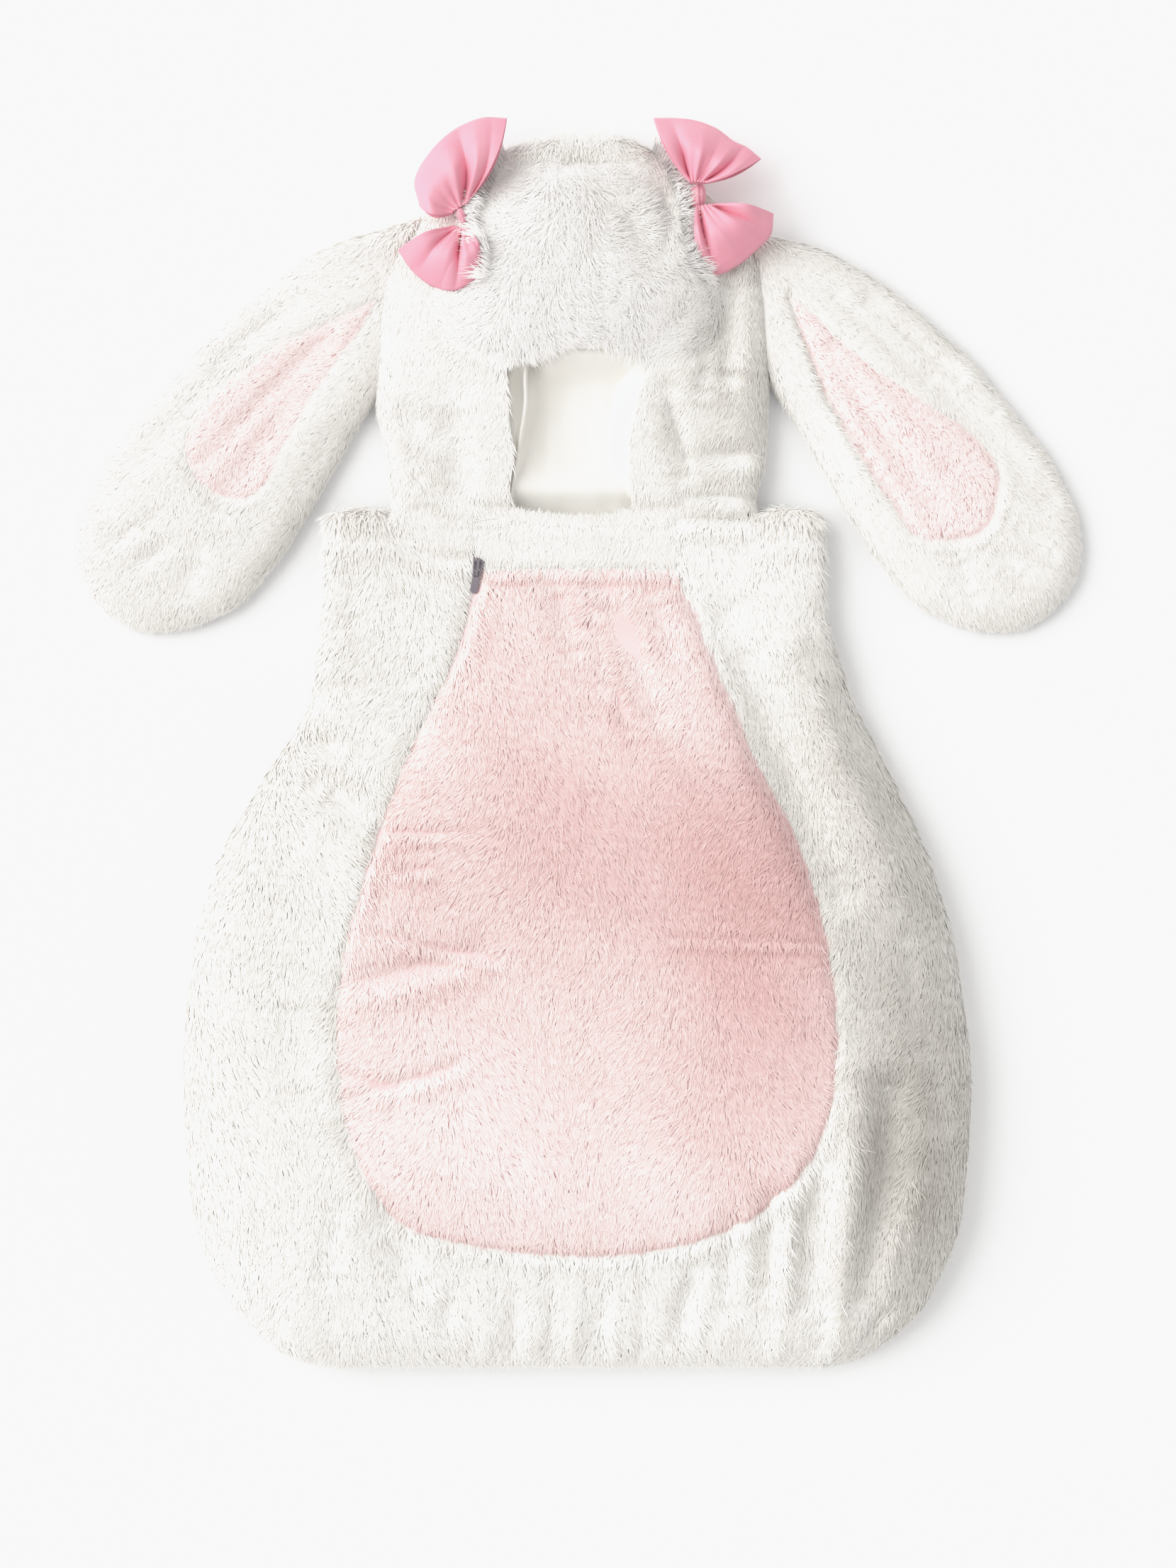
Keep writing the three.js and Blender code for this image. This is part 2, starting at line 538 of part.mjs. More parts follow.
// The tunic: a back on the surface, and a front with the belly let in and the zip down one side of it.
function buildTunic() {
  const tunic = new Spread(TUNIC, "left", "right");
  const shoulder = [SHOULDER_Y + 0.1, 190];
  const grid = {
    ys: [...stations(HEM_Y, SHOULDER_Y - 0.1, 26, 5, 19), ...shoulder],
    shares: stations(-1, 1, 0.17, 4, 0.058),
  };
  const inner = {
    ys: [...stations(HEM_Y + PLUSH, SHOULDER_Y - PLUSH - 0.1, 18, 2, 32), SHOULDER_Y - PLUSH + 0.1, 190],
    shares: stations(-1, 1, 0.14, 2, 0.16),
  };
  const seat = (x, y) => columnAt(TUNIC_FORM, "seam", y) + mouthAt(x, y);
  const shell = frontWall(tunic, grid, inner, { seat, top: tunicTop, lining: tunicInner, thick: PLUSH });
  const upZip = new THREE.Vector2(0, 1).rotateAround(new THREE.Vector2(), degToRad(SLIDER_AT.turn));
  const pocket = strip([POCKET.up, POCKET.down].map((along) => vec(SLIDER_AT).addScaledVector(upZip, along)), POCKET.half);
  const front = without(shell, neckOutline).subtract(prism(strip(zipLine, GROOVE_HALF))).subtract(prism(pocket));
  add("front_panel", without(without(front, bellyOutline), bandOutline), "plush");
  add("belly_panel", within(front, bellyOutline), "pinkPlush");
  add("neck_band", within(front, bandOutline), "plush");

  const backGrid = {
    ys: [...stations(HEM_Y, SHOULDER_Y - 0.1, 12, 4, 27), ...shoulder],
    shares: stations(-1, 1, 0.06, 3, 0.47),
  };
  const backInner = {
    ys: [...stations(HEM_Y + PLUSH, SHOULDER_Y - PLUSH - 0.1, 8, 2, 27), SHOULDER_Y - PLUSH + 0.1, 190],
    shares: [-1, 0, 1],
  };
  const rimAt = (x, y) => columnAt(TUNIC_FORM, "seam", y) - mouthAt(x, y);
  const back = backWall(tunic, backGrid, rimAt, backInner, PLUSH);
  const neck = [[-119, BACK_NECK_Y], [119, BACK_NECK_Y], [119, 150], [150, 150], [150, 300], [-150, 300], [-150, 150], [-119, 150]];
  add("back_panel", without(back, neck.map(([x, y]) => new THREE.Vector2(x, y))), "plush");
  return tunic;
}

// The hood: a back and its lining on the surface, and a front with the face opening and the tuft over it.
function buildHood() {
  const hood = new Spread(HOOD, "left", "right");
  const [low, high] = [HOOD[0].y, HOOD[HOOD.length - 1].y];
  const grid = { ys: stations(low, high, 20, 4, 15), shares: stations(-1, 1, 0.18, 4, 0.1) };
  const inner = { ys: stations(low + PLUSH, high - PLUSH, 12, 2, 28), shares: stations(-1, 1, 0.15, 2, 0.2) };
  const seat = (x, y) => columnAt(HOOD_FORM, "seam", y) + SEAM_GAP / 2;
  const shell = frontWall(hood, grid, inner, { seat, top: hoodTop, lining: hoodInner, thick: PLUSH });
  const front = within(shell, neckOutline).subtract(prism(faceOutline)).subtract(prism(strip(zipLine, GROOVE_HALF)));
  add("hood_front", without(front, tuftOutline), "plush");
  add("hood_tuft", within(front, tuftOutline), "plush");

  const backGrid = { ys: stations(low, high, 12, 3, 20), shares: stations(-1, 1, 0.1, 3, 0.45) };
  const backInner = { ys: stations(low + PLUSH, high - PLUSH, 8, 2, 26), shares: [-1, 0, 1] };
  const back = backWall(hood, backGrid, (x, y) => columnAt(HOOD_FORM, "seam", y) - SEAM_GAP / 2, backInner, PLUSH);
  const below = [[-160, 0], [160, 0], [160, BACK_NECK_Y], [-160, BACK_NECK_Y]].map(([x, y]) => new THREE.Vector2(x, y));
  add("hood_back", without(back, below), "plush");
  const lining = offset(faceOutline, 12).filter((p) => p.y > BACK_NECK_Y + 1);
  add("hood_lining", prism(lining, PLUSH + SEAM_GAP, PLUSH + SEAM_GAP + LINING), "lining");
  return hood;
}

// An ear: a back on the surface, and a front with the pink let in. The root is cut where it meets the hood.
function buildEar(key, sign, hoodOutline) {
  const place = (x, y) => new THREE.Vector2(
    sign * (EAR_ROOT.x + y * EAR_AXIS.x - x * EAR_AXIS.y),
    EAR_ROOT.y + y * EAR_AXIS.y + x * EAR_AXIS.x,
  );
  const ear = new Spread(EAR, "inner", "outer", place);
  const [root, tip] = [EAR[0].y, EAR[EAR.length - 1].y];
  const grid = { ys: stations(root, tip, 20, 4, 24), shares: stations(-1, 1, 0.26, 3, 0.2) };
  const inner = { ys: stations(root + EAR_PLUSH, tip - EAR_PLUSH, 14, 2, 42), shares: stations(-1, 1, 0.2, 1, 0.4) };
  const seat = (x, y) => columnAt(EAR_FORM, "seam", y) + SEAM_GAP / 2;
  const shell = frontWall(ear, grid, inner, { seat, top: earTop, lining: earInner, thick: EAR_PLUSH });
  const front = without(shell, hoodOutline);
  const { root: start, rows, end } = INSERTS[key];
  const across = (column, turn) => rows.map((row) => place(turn * row[column], row.y));
  const insert = curve([
    place(start.x, start.y), ...across("outer", 1), place(end.x, end.y), ...across("inner", -1).reverse(), place(start.x, start.y),
  ], 34).slice(0, -1);
  add(`ear_${key}_front`, without(front, insert), "plush");
  add(`ear_${key}_inside`, within(front, insert), "pinkPlush");
  const backGrid = { ys: stations(root, tip, 14, 3, 26), shares: stations(-1, 1, 0.2, 2, 0.8) };
  const back = backWall(ear, backGrid, (x, y) => columnAt(EAR_FORM, "seam", y) - SEAM_GAP / 2);
  add(`ear_${key}_back`, without(back, hoodOutline), "plush");
}

// A bow's wing: a loop of satin out from the knot over the top and back below, pleated across.
function wingGeometry({ neck, fold, bulge }, hood) {
  const [sideSteps, outSteps] = [10, 4];
  const far = new THREE.SplineCurve(fold.map(vec));
  const rings = Array.from({ length: sideSteps + 1 }, (_, i) => {
    const s = i / sideSteps;
    const start = vec(neck[0]).lerp(vec(neck[1]), s);
    const stop = far.getPoint(s);
    const length = start.distanceTo(stop);
    const out = stop.clone().sub(start).normalize();
    const at = (t, top, inset) => {
      const shifted = t * (1 - inset / length);
      const p = start.clone().lerp(stop, shifted);
      p.addScaledVector(new THREE.Vector2(out.y, -out.x), bulge * Math.sin(Math.PI * shifted) * (1 - 2 * s));
      const under = hood.holds(p.x, p.y) ? hoodTop(p.x, p.y, hood.into(p.x, p.y)) + BOW_LOW.clear : 0;
      const low = Math.max(lerp(BOW_LOW.neck, BOW_LOW.fold, t), under);
      const rise = t < 0.5 ? lerp(LOOP.neck, LOOP.full, smooth(2 * t)) : lerp(LOOP.full, LOOP.fold, smooth(2 * t - 1));
      const pleat = PLEATS.high * Math.cos(2 * Math.PI * PLEATS.count * s) * Math.sin(Math.PI * clamp(t, 0.1, 0.85));
      return new THREE.Vector3(p.x, p.y, top ? low + rise + pleat - inset : low + inset);
    };
    const ts = Array.from({ length: outSteps + 1 }, (_, j) => j / outSteps);
    const back = [...ts].reverse();
    const outside = [...ts.map((t) => at(t, true, 0)), ...back.map((t) => at(t, false, 0))];
    const inside = [...ts.map((t) => at(t, true, SATIN)), ...back.map((t) => at(t, false, SATIN))];
    return { outside, inside };
  });
  const corners = [];
  const quad = (a, b, c, d) => corners.push(a, b, c, a, c, d);
  const count = rings[0].outside.length;
  for (let i = 0; i < sideSteps; i++) {
    const [near, next] = [rings[i], rings[i + 1]];
    for (let j = 0; j + 1 < count; j++) {
      quad(near.outside[j], near.outside[j + 1], next.outside[j + 1], next.outside[j]);
      quad(near.inside[j], next.inside[j], next.inside[j + 1], near.inside[j + 1]);
    }
    for (const j of [0, count - 1]) {
      const ends = [near.outside[j], next.outside[j], next.inside[j], near.inside[j]];
      quad(...(j === 0 ? ends : ends.reverse()));
    }
  }
  for (const ring of [rings[0], rings[sideSteps]]) {
    for (let j = 0; j + 1 < count; j++) {
      const face = [ring.outside[j], ring.inside[j], ring.inside[j + 1], ring.outside[j + 1]];
      quad(...(ring === rings[0] ? face : face.reverse()));
    }
  }
  return closedGeometry(corners);
}

function buildBow({ side, knot, wings }, hood) {
  for (const wing of wings) add(`bow_${side}_${wing.name}`, wingGeometry(wing, hood).toNonIndexed(), "satin");
  const ball = new THREE.SphereGeometry(1, 12, 8).rotateX(Math.PI / 2);
  ball.scale(knot.across, knot.along, KNOT_HALF_HIGH).rotateZ(degToRad(knot.turn));
  ball.translate(knot.x, knot.y, hoodTop(knot.x, knot.y, hood.into(knot.x, knot.y)) + BOW_LOW.clear + KNOT_HALF_HIGH);
  add(`bow_${side}_knot`, solidOf(ball), "satin");
}

// The zip: its tape and closed coil below the groove, the slider at its top and the pull tab through the slider's bridge.
function buildZip(tunic) {
  const depthAt = (p) => tunicInner(p.x, p.y, tunic.into(p.x, p.y));
  const line = zipLine.filter((p) => p.y < TAPE.top);
  const { half, thick, coilHalf, coilHigh } = TAPE;
  const section = [[-half, 0], [half, 0], [half, thick], [coilHalf, thick], [coilHalf, coilHigh], [-coilHalf, coilHigh], [-coilHalf, thick], [-half, thick]];
  const rings = line.map((p, i) => {
    const [before, after] = [line[Math.max(0, i - 1)], line[Math.min(line.length - 1, i + 1)]];
    const along = after.clone().sub(before).normalize();
    const low = depthAt(p) - TAPE.drop - thick;
    return section.map(([across, up]) => new THREE.Vector3(p.x - along.y * across, p.y + along.x * across, low + up));
  });
  const caps = THREE.ShapeUtils.triangulateShape(section.map(([x, y]) => new THREE.Vector2(x, y)), []);
  const corners = [];
  for (let j = 0; j + 1 < rings.length; j++) {
    rings[j].forEach((a, i) => {
      const k = (i + 1) % section.length;
      corners.push(a, rings[j][k], rings[j + 1][k], a, rings[j + 1][k], rings[j + 1][i]);
    });
  }
  for (const [a, b, c] of caps) {
    corners.push(rings[0][a], rings[0][c], rings[0][b]);
    const end = rings[rings.length - 1];
    corners.push(end[a], end[b], end[c]);
  }
  add("zip_tape", closedGeometry(corners).toNonIndexed(), "tape");

  const slider = new THREE.Group();
  slider.position.set(SLIDER_AT.x, SLIDER_AT.y, tunicTop(SLIDER_AT.x, SLIDER_AT.y, tunic.into(SLIDER_AT.x, SLIDER_AT.y)));
  slider.rotation.z = degToRad(SLIDER_AT.turn);
  model.add(slider);
  const s = SLIDER;
  const plan = [[-s.topHalf, s.up], [-s.waistHalf, -1], [-s.waistHalf, s.down], [s.waistHalf, s.down], [s.waistHalf, -1],
    [s.topHalf, s.up], [1.3, s.up], [BRIDGE.half, BRIDGE.to], [-BRIDGE.half, BRIDGE.to], [-1.3, s.up]];
  const body = prism(plan.map(([x, y]) => new THREE.Vector2(x, y)), s.low, s.high);
  const [foot, under, over] = [s.high - 0.8, s.high + BRIDGE.gap, s.high + BRIDGE.gap + BRIDGE.bar];
  const arch = [[BRIDGE.from, foot], [BRIDGE.from + BRIDGE.post, foot], [BRIDGE.from + BRIDGE.post, under],
    [BRIDGE.to - BRIDGE.post, under], [BRIDGE.to - BRIDGE.post, foot], [BRIDGE.to, foot], [BRIDGE.to, over], [BRIDGE.from, over]];
  const loop = new THREE.ExtrudeGeometry(new THREE.Shape(arch.map(([y, z]) => new THREE.Vector2(y, z))),
    { depth: 2 * BRIDGE.half, bevelEnabled: false });
  loop.rotateX(Math.PI / 2).rotateZ(Math.PI / 2).translate(-BRIDGE.half, 0, 0);
  add("zip_slider", body.add(solidOf(loop)), "metal", slider);

  const t = TAB;
  const face = new THREE.Shape([[t.headHalf, t.bar], [-t.headHalf, t.bar], [-t.waistHalf, -t.window], [-t.tipHalf, 1.5 - t.reach],
    [-t.tipHalf + 1.2, -t.reach], [t.tipHalf - 1.2, -t.reach], [t.tipHalf, 1.5 - t.reach], [t.waistHalf, -t.window]]
    .map(([x, y]) => new THREE.Vector2(x, y)));
  face.holes.push(new THREE.Path([[t.headHalf - t.arm, -t.bar], [t.waistHalf - t.arm, -t.window], [t.arm - t.waistHalf, -t.window],
    [t.arm - t.headHalf, -t.bar]].map(([x, y]) => new THREE.Vector2(x, y))));
  const tab = new THREE.ExtrudeGeometry(face, { depth: t.thick, bevelEnabled: false });
  tab.translate(0, t.y, s.high + BRIDGE.gap / 2 - t.thick / 2);
  add("zip_pull_tab", solidOf(tab), "metal", slider);
}

const tunic = buildTunic();
const hood = buildHood();
const hoodEdge = offset(hood.outline(), 2 * SEAM_GAP);
buildEar("left", -1, hoodEdge);
buildEar("right", 1, hoodEdge);
BOWS.forEach((bow) => buildBow(bow, hood));
buildZip(tunic);

export default model;
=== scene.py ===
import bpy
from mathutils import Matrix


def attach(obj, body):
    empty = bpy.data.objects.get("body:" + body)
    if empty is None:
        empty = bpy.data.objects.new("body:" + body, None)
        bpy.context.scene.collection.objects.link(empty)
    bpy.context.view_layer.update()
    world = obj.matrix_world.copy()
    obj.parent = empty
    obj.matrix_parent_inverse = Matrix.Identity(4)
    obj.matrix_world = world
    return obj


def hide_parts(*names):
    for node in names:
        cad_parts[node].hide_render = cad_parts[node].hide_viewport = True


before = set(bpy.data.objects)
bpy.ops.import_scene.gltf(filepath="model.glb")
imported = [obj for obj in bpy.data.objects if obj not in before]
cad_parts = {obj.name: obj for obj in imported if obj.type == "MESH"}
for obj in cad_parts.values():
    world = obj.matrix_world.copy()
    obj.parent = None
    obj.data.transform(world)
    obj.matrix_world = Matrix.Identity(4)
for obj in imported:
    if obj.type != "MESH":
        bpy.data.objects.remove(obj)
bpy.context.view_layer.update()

import math
import bmesh
import bpy
import numpy as np
from mathutils import Vector

# A child's plush bunny costume laid flat.
# Lengths are in millimetres until a mesh is made, which is in metres.
MM = 0.001
PILE = 1.0          # how far the tips of the short pile stand above the cloth they are rooted in
WALL = 1.6          # the knitted backing of the plush
PIXEL = 0.45        # millimetres to one pixel of the photograph


def table(columns, *rows):
    return {name: np.array(values, float) for name, values in zip(columns.split(), zip(*rows))}


HEM_Y = -394.5
HEM_HALF = 160.0
SHOULDER_Y = 150.0
HOOD_TOP = 385.5
EAR_TIP = 294.0
BELLY_LOW = -318.0
TUNIC = table("y left right",
    (HEM_Y, HEM_HALF, HEM_HALF), (-391, 176, 175), (-384, 192, 190), (-370, 209, 208), (-352, 224, 223),
    (-293, 245, 245), (-217, 251, 250), (-140, 245, 241), (-81, 230, 225), (-18, 197, 197), (29, 170, 174),
    (85, 162, 158), (138, 161, 156), (146, 159, 154), (149.9, 151, 146), (150.1, 121, 121),
    (190, 121, 121))
BELLY = table("y left right",
    (60, 76, 83), (0, 102, 108), (-60, 126, 138), (-115, 143, 154), (-170, 148, 161), (-230, 143, 155),
    (-275, 126, 130), (-305, 92, 84))
HOOD = table("y left right",
    (80, 106, 101), (150, 118, 112), (180, 121, 119), (220, 128, 121), (265, 128, 121), (300, 121, 117),
    (330, 101, 101), (355, 79, 76), (372, 56, 54), (381, 36, 40), (HOOD_TOP, 14, 26))
FACE = table("y left right",
    (110, 45, 37), (150, 44.6, 36.5), (175, 42, 33), (202, 42.5, 35), (228, 45, 41), (246, 38, 44))
TUFT = table("y left right", (247, 54, 74), (262, 84, 91), (290, 88, 91), (325, 66, 68), (352, 38, 44))
EAR = table("y inner outer",
    (-17, -12, 15), (-3, 0, 25), (14, 12, 38), (31, 24, 48), (64, 33, 60), (97, 36, 68), (147, 44, 75),
    (207, 51, 75), (237, 49, 70.5), (257, 40, 64.7), (272, 30, 56.5), (284, 17, 45), (291, 4, 30),
    (EAR_TIP, -13, 17))
INSERTS = {
    "right": ((11, 29), table("y inner outer",
        (60, 1, 14), (100, 13, 21), (140, 21, 35), (175, 22.5, 45), (205, 21, 42)), (12, 226)),
    "left": ((2, 30), table("y inner outer",
        (62, 2, 17), (100, 4, 36), (140, 9, 46), (168, 15, 44), (184, 8, 34)), (12, 191)),
}
NECK_LEFT = [(-126, 150), (-112, 130), (-92, 120), (-67, 118)]
NECK_RIGHT = [(62, 141), (76, 144), (98, 142), (126, 149.8)]
ZIP_X = -65.75

TUNIC_STAND = table("y seam wide rise crown",
    (HEM_Y, 17, 26, 17, 24), (-260, 18, 40, 24, 30), (-100, 18, 36, 22, 27), (20, 15, 24, 14, 16),
    (110, 13, 16, 10, 6), (190, 13, 14, 9, 4))
HOOD_STAND = table("y seam wide rise crown",
    (80, 12, 14, 11, 5), (180, 12, 16, 11, 6), (250, 12, 20, 12, 9), (386, 12, 20, 11, 8))
EAR_STAND = table("y seam wide rise crown",
    (-20, 9, 14, 8, 3), (150, 9, 18, 8.5, 5), (EAR_TIP, 9, 18, 8.5, 4))

# Folds run from one point to another, are so wide and so high, and die away at their ends.
# The first are the deep ones, and the rest are the fine creases of a cloth that has been folded away.
TUNIC_FOLDS = [
    (93, 80, 160, -92, 15, -8), (134, 60, 198, -80, 18, 5), (20, 100, 52, 20, 10, -3),
    (-14, 104, -2, 62, 9, -2.5), (-182, 8, -142, -6, 10, -5), (-165, -24, -128, -52, 10, -5),
    (-146, -152, -62, -128, 10, -4), (168, -362, 175, -205, 14, 8), (178, -352, 198, -215, 11, -9),
    (190, -362, 219, -255, 12, 5), (146, -345, 150, -262, 9, -5), (130, -345, 129, -285, 7, 3),
    (118, -336, 120, -282, 9, -6), (60, -374, 74, -326, 8, -4.5), (93, -350, 94, -296, 8, -3.5),
    (-120, -300, -100, -334, 11, -5), (-128, -53, -68, -54, 3.6, -1.5), (-112, -77, -88, -75, 3.2, -1.2),
    (-126, -116, -52, -132, 3.8, -1.6), (58, -117, 96, -119, 2.6, -0.5), (96, -119, 150, -121, 2.6, -0.8),
    (-148, -222, -79, -199, 5.5, -2.2), (-143, -205, -112, -213, 5, -2), (27, 33, 33, 12, 4, -1.8),
    (12, 84, 20, 40, 8, -1.8), (46, 96, 60, 62, 6, -2), (141, -309, 140, -290, 4, -3),
    (122, -336, 120, -305, 4, -2.5), (215, -330, 212, -352, 5, -4), (200, -345, 207, -290, 5, -2.5),
    (182, -368, 204, -346, 4, -2.5), (-155, -330, -150, -290, 9, -2.5), (-40, -378, -36, -345, 7, -2),
    (-84, -370, -80, -340, 6, -1.8), (10, -376, 14, -350, 6, -2), (150, 130, 150, 60, 9, -2),
    (-152, 120, -140, 84, 10, -2.5), (-104, 40, -96, 0, 12, -2), (205, -120, 216, -190, 7, -2),
    (224, -150, 232, -235, 8, -2), (-178, -150, -170, -215, 16, -2.5),
]
HOOD_FOLDS = [
    (97, 302, 95, 235, 9, -9), (74, 181, 118, 184, 8, -5), (58, 224, 68, 172, 8, -4),
    (-78, 222, -72, 150, 12, -5), (-122, 214, -92, 196, 9, -4), (112, 292, 114, 244, 5, -4),
    (58, 219, 70, 180, 2.5, -1.8), (-60, 356, -28, 371, 9, -4), (-28, 371, 30, 368, 8, -3),
    (52, 348, 54, 318, 8, -3), (-100, 168, -70, 150, 7, -2.5), (84, 262, 80, 226, 5, -3),
    (70, 158, 112, 156, 6, -3), (20, 340, 44, 310, 9, -2.5),
]
EAR_FOLDS = [
    (47, 70, 58, 235, 10, -3), (6, 78, -2, 196, 10, -3), (-8, 226, -18, 252, 8, -2),
    (10, 236, 16, 262, 6, -1.8), (28, 230, 38, 262, 6, -1.8), (-30, 100, -36, 150, 7, -1.8),
]
# Each ear also has creases of its own.
OWN_EAR_FOLDS = {
    "left": [(12, 60, 24, 182, 6, -2.4), (38, 60, 56, 120, 6, -1.5)],
    "right": [(8, 34, -10, 96, 4, -2.6), (-10, 90, -16, 150, 4, -2.8), (-16, 140, -20, 200, 4, -2.4),
              (8, 70, 14, 170, 9, 2.2), (30, 52, 44, 128, 5, -1.6), (58, 110, 66, 170, 4, -1.8),
              (50, 90, 60, 140, 3, -1.4)],
}
# Painted light and shade laid into the pile's tint, lighter or darker by how light falls on the form: a soft
# round place, its reach across and along, and by how much.
WHITE_PAINTED_SHADING = [
    (200, -150, 46, 170, -0.5), (215, -275, 46, 90, -0.5), (142, -30, 40, 90, -0.38),
    (-60, -360, 220, 50, 0.2), (120, 110, 50, 40, 0.2), (60, 340, 40, 40, -0.2), (100, 215, 30, 60, -0.25),
    (-60, 260, 60, 50, 0.35), (0, 368, 60, 16, 0.05), (-190, -120, 75, 200, -0.2),
    (-125, 60, 50, 70, -0.16), (-95, 200, 40, 50, -0.1), (-45, 362, 26, 24, 0.35),
]
PINK_PAINTED_SHADING = [
    (30, -60, 140, 80, -0.46), (115, -160, 60, 110, -0.5), (-100, -245, 70, 45, 0.3),
    (0, 85, 90, 45, -0.06), (-120, -130, 30, 60, 0.05), (20, -290, 110, 30, 0.2), (60, 20, 40, 60, 0.22),
]
# The ear inserts' pink is lifted all over with painted light.
EAR_PAINTED_LIGHT = [(0, 0, 1e5, 1e5, 0.25)]


def smooth(t):
    t = np.clip(t, 0, 1)
    return t * t * (3 - 2 * t)


def quarter(t):
    return np.sqrt(np.maximum(0, 1 - (1 - np.clip(t, 0, 1)) ** 2))


def swell(t):
    return 1 - (1 - np.clip(t, 0, 1)) ** 2


def column(rows, key, y):
    """A table's column at y, on a smooth curve through its rows that never overshoots them."""
    ys, vs = rows["y"], rows[key]
    slope = np.diff(vs) / np.diff(ys)
    tangent = np.concatenate([slope[:1], np.zeros(len(ys) - 2), slope[-1:]])
    before, after = slope[:-1], slope[1:]
    same = before * after > 0
    tangent[1:-1][same] = 2 * before[same] * after[same] / (before[same] + after[same])
    y = np.clip(y, ys[0], ys[-1])
    i = np.clip(np.searchsorted(ys, y, side="right") - 1, 0, len(ys) - 2)
    span = np.diff(ys)[i]
    t = (y - ys[i]) / span
    near = (1 + 2 * t) * (1 - t) ** 2 * vs[i] + t * (1 - t) ** 2 * span * tangent[i]
    return near + t ** 2 * (3 - 2 * t) * vs[i + 1] + t ** 2 * (t - 1) * span * tangent[i + 1]


def spaced(points, count, closed=False):
    """Points evenly spaced along a line."""
    p = np.array(points, float)
    if closed:
        p = np.vstack([p, p[:1]])
    run = np.concatenate([[0], np.cumsum(np.linalg.norm(np.diff(p, axis=0), axis=1))])
    s = np.linspace(0, run[-1], count)
    return np.stack([np.interp(s, run, p[:, 0]), np.interp(s, run, p[:, 1])], axis=1)


def curve(points, count):
    """A smooth curve through points."""
    p = np.array(points, float)
    p = np.vstack([2 * p[0] - p[1], p, 2 * p[-1] - p[-2]])
    t = np.linspace(0, len(points) - 1, count)
    i = np.minimum(t.astype(int), len(points) - 2)
    f = (t - i)[:, None]
    a, b, c, d = p[i], p[i + 1], p[i + 2], p[i + 3]
    return 0.5 * (2 * b + (c - a) * f + (2 * a - 5 * b + 4 * c - d) * f ** 2
                  + (3 * b - a - 3 * c + d) * f ** 3)


def to_line(x, y, line, closed=False):
    """Distance from points to a line."""
    p = np.array(line, float)
    a, b = (p, np.roll(p, -1, axis=0)) if closed else (p[:-1], p[1:])
    d = b - a
    length = np.maximum((d ** 2).sum(1), 1e-9)
    out = np.empty(len(x))
    for k in range(0, len(x), 20000):
        ux, uy = x[k:k + 20000, None] - a[:, 0], y[k:k + 20000, None] - a[:, 1]
        t = np.clip((ux * d[:, 0] + uy * d[:, 1]) / length, 0, 1)
        out[k:k + 20000] = np.sqrt(((ux - t * d[:, 0]) ** 2 + (uy - t * d[:, 1]) ** 2).min(1))
    return out


def inside(x, y, outline):
    """Which points lie inside a closed outline."""
    p = np.array(outline, float)
    q = np.roll(p, -1, axis=0)
    out = np.zeros(len(x), bool)
    for (ax, ay), (bx, by) in zip(p, q):
        if ay != by:
            crosses = ((ay > y) != (by > y)) & (x < (bx - ax) * (y - ay) / (by - ay) + ax)
            out ^= crosses
    return out


def fold_height(folds, x, y):
    total = np.zeros(np.shape(x))
    for x0, y0, x1, y1, wide, high in folds:
        dx, dy = x1 - x0, y1 - y0
        t = ((x - x0) * dx + (y - y0) * dy) / (dx * dx + dy * dy)
        c = np.clip(t, 0, 1)
        away = np.hypot(x - x0 - c * dx, y - y0 - c * dy) / wide
        total += high * np.exp(-away * away) * np.sqrt(np.sin(np.pi * np.clip(t, 0.1, 0.9)))
    return total


def gather_height(x, y):
    above = y - HEM_Y
    straight = x / (1 + 0.0011 * above)
    swayed = straight + 9 * np.sin(straight / 43)
    share = 0.6 + 0.4 * np.sin(straight / 29 + 2)
    fine = 0.3 * np.cos(2 * np.pi * swayed / 13.7 + 1.3 * np.sin(swayed / 31))
    fuller = 0.6 + 0.4 * smooth((x + 10) / 110)
    fading = np.clip(1 - above / 105, 0, 1) ** 1.5
    return 2.8 * fuller * fading * (np.cos(2 * np.pi * swayed / 32) + fine) * share


def mouth(x, y):
    arm = smooth((y - 32) / 16) * smooth((136 - y) / 14) * smooth((np.abs(x) - 100) / 30)
    hem = smooth((HEM_Y + 60 - y) / 40) * smooth((HEM_HALF + 8 - np.abs(x)) / 20)
    return 0.15 + 3.2 * np.maximum(arm, hem)


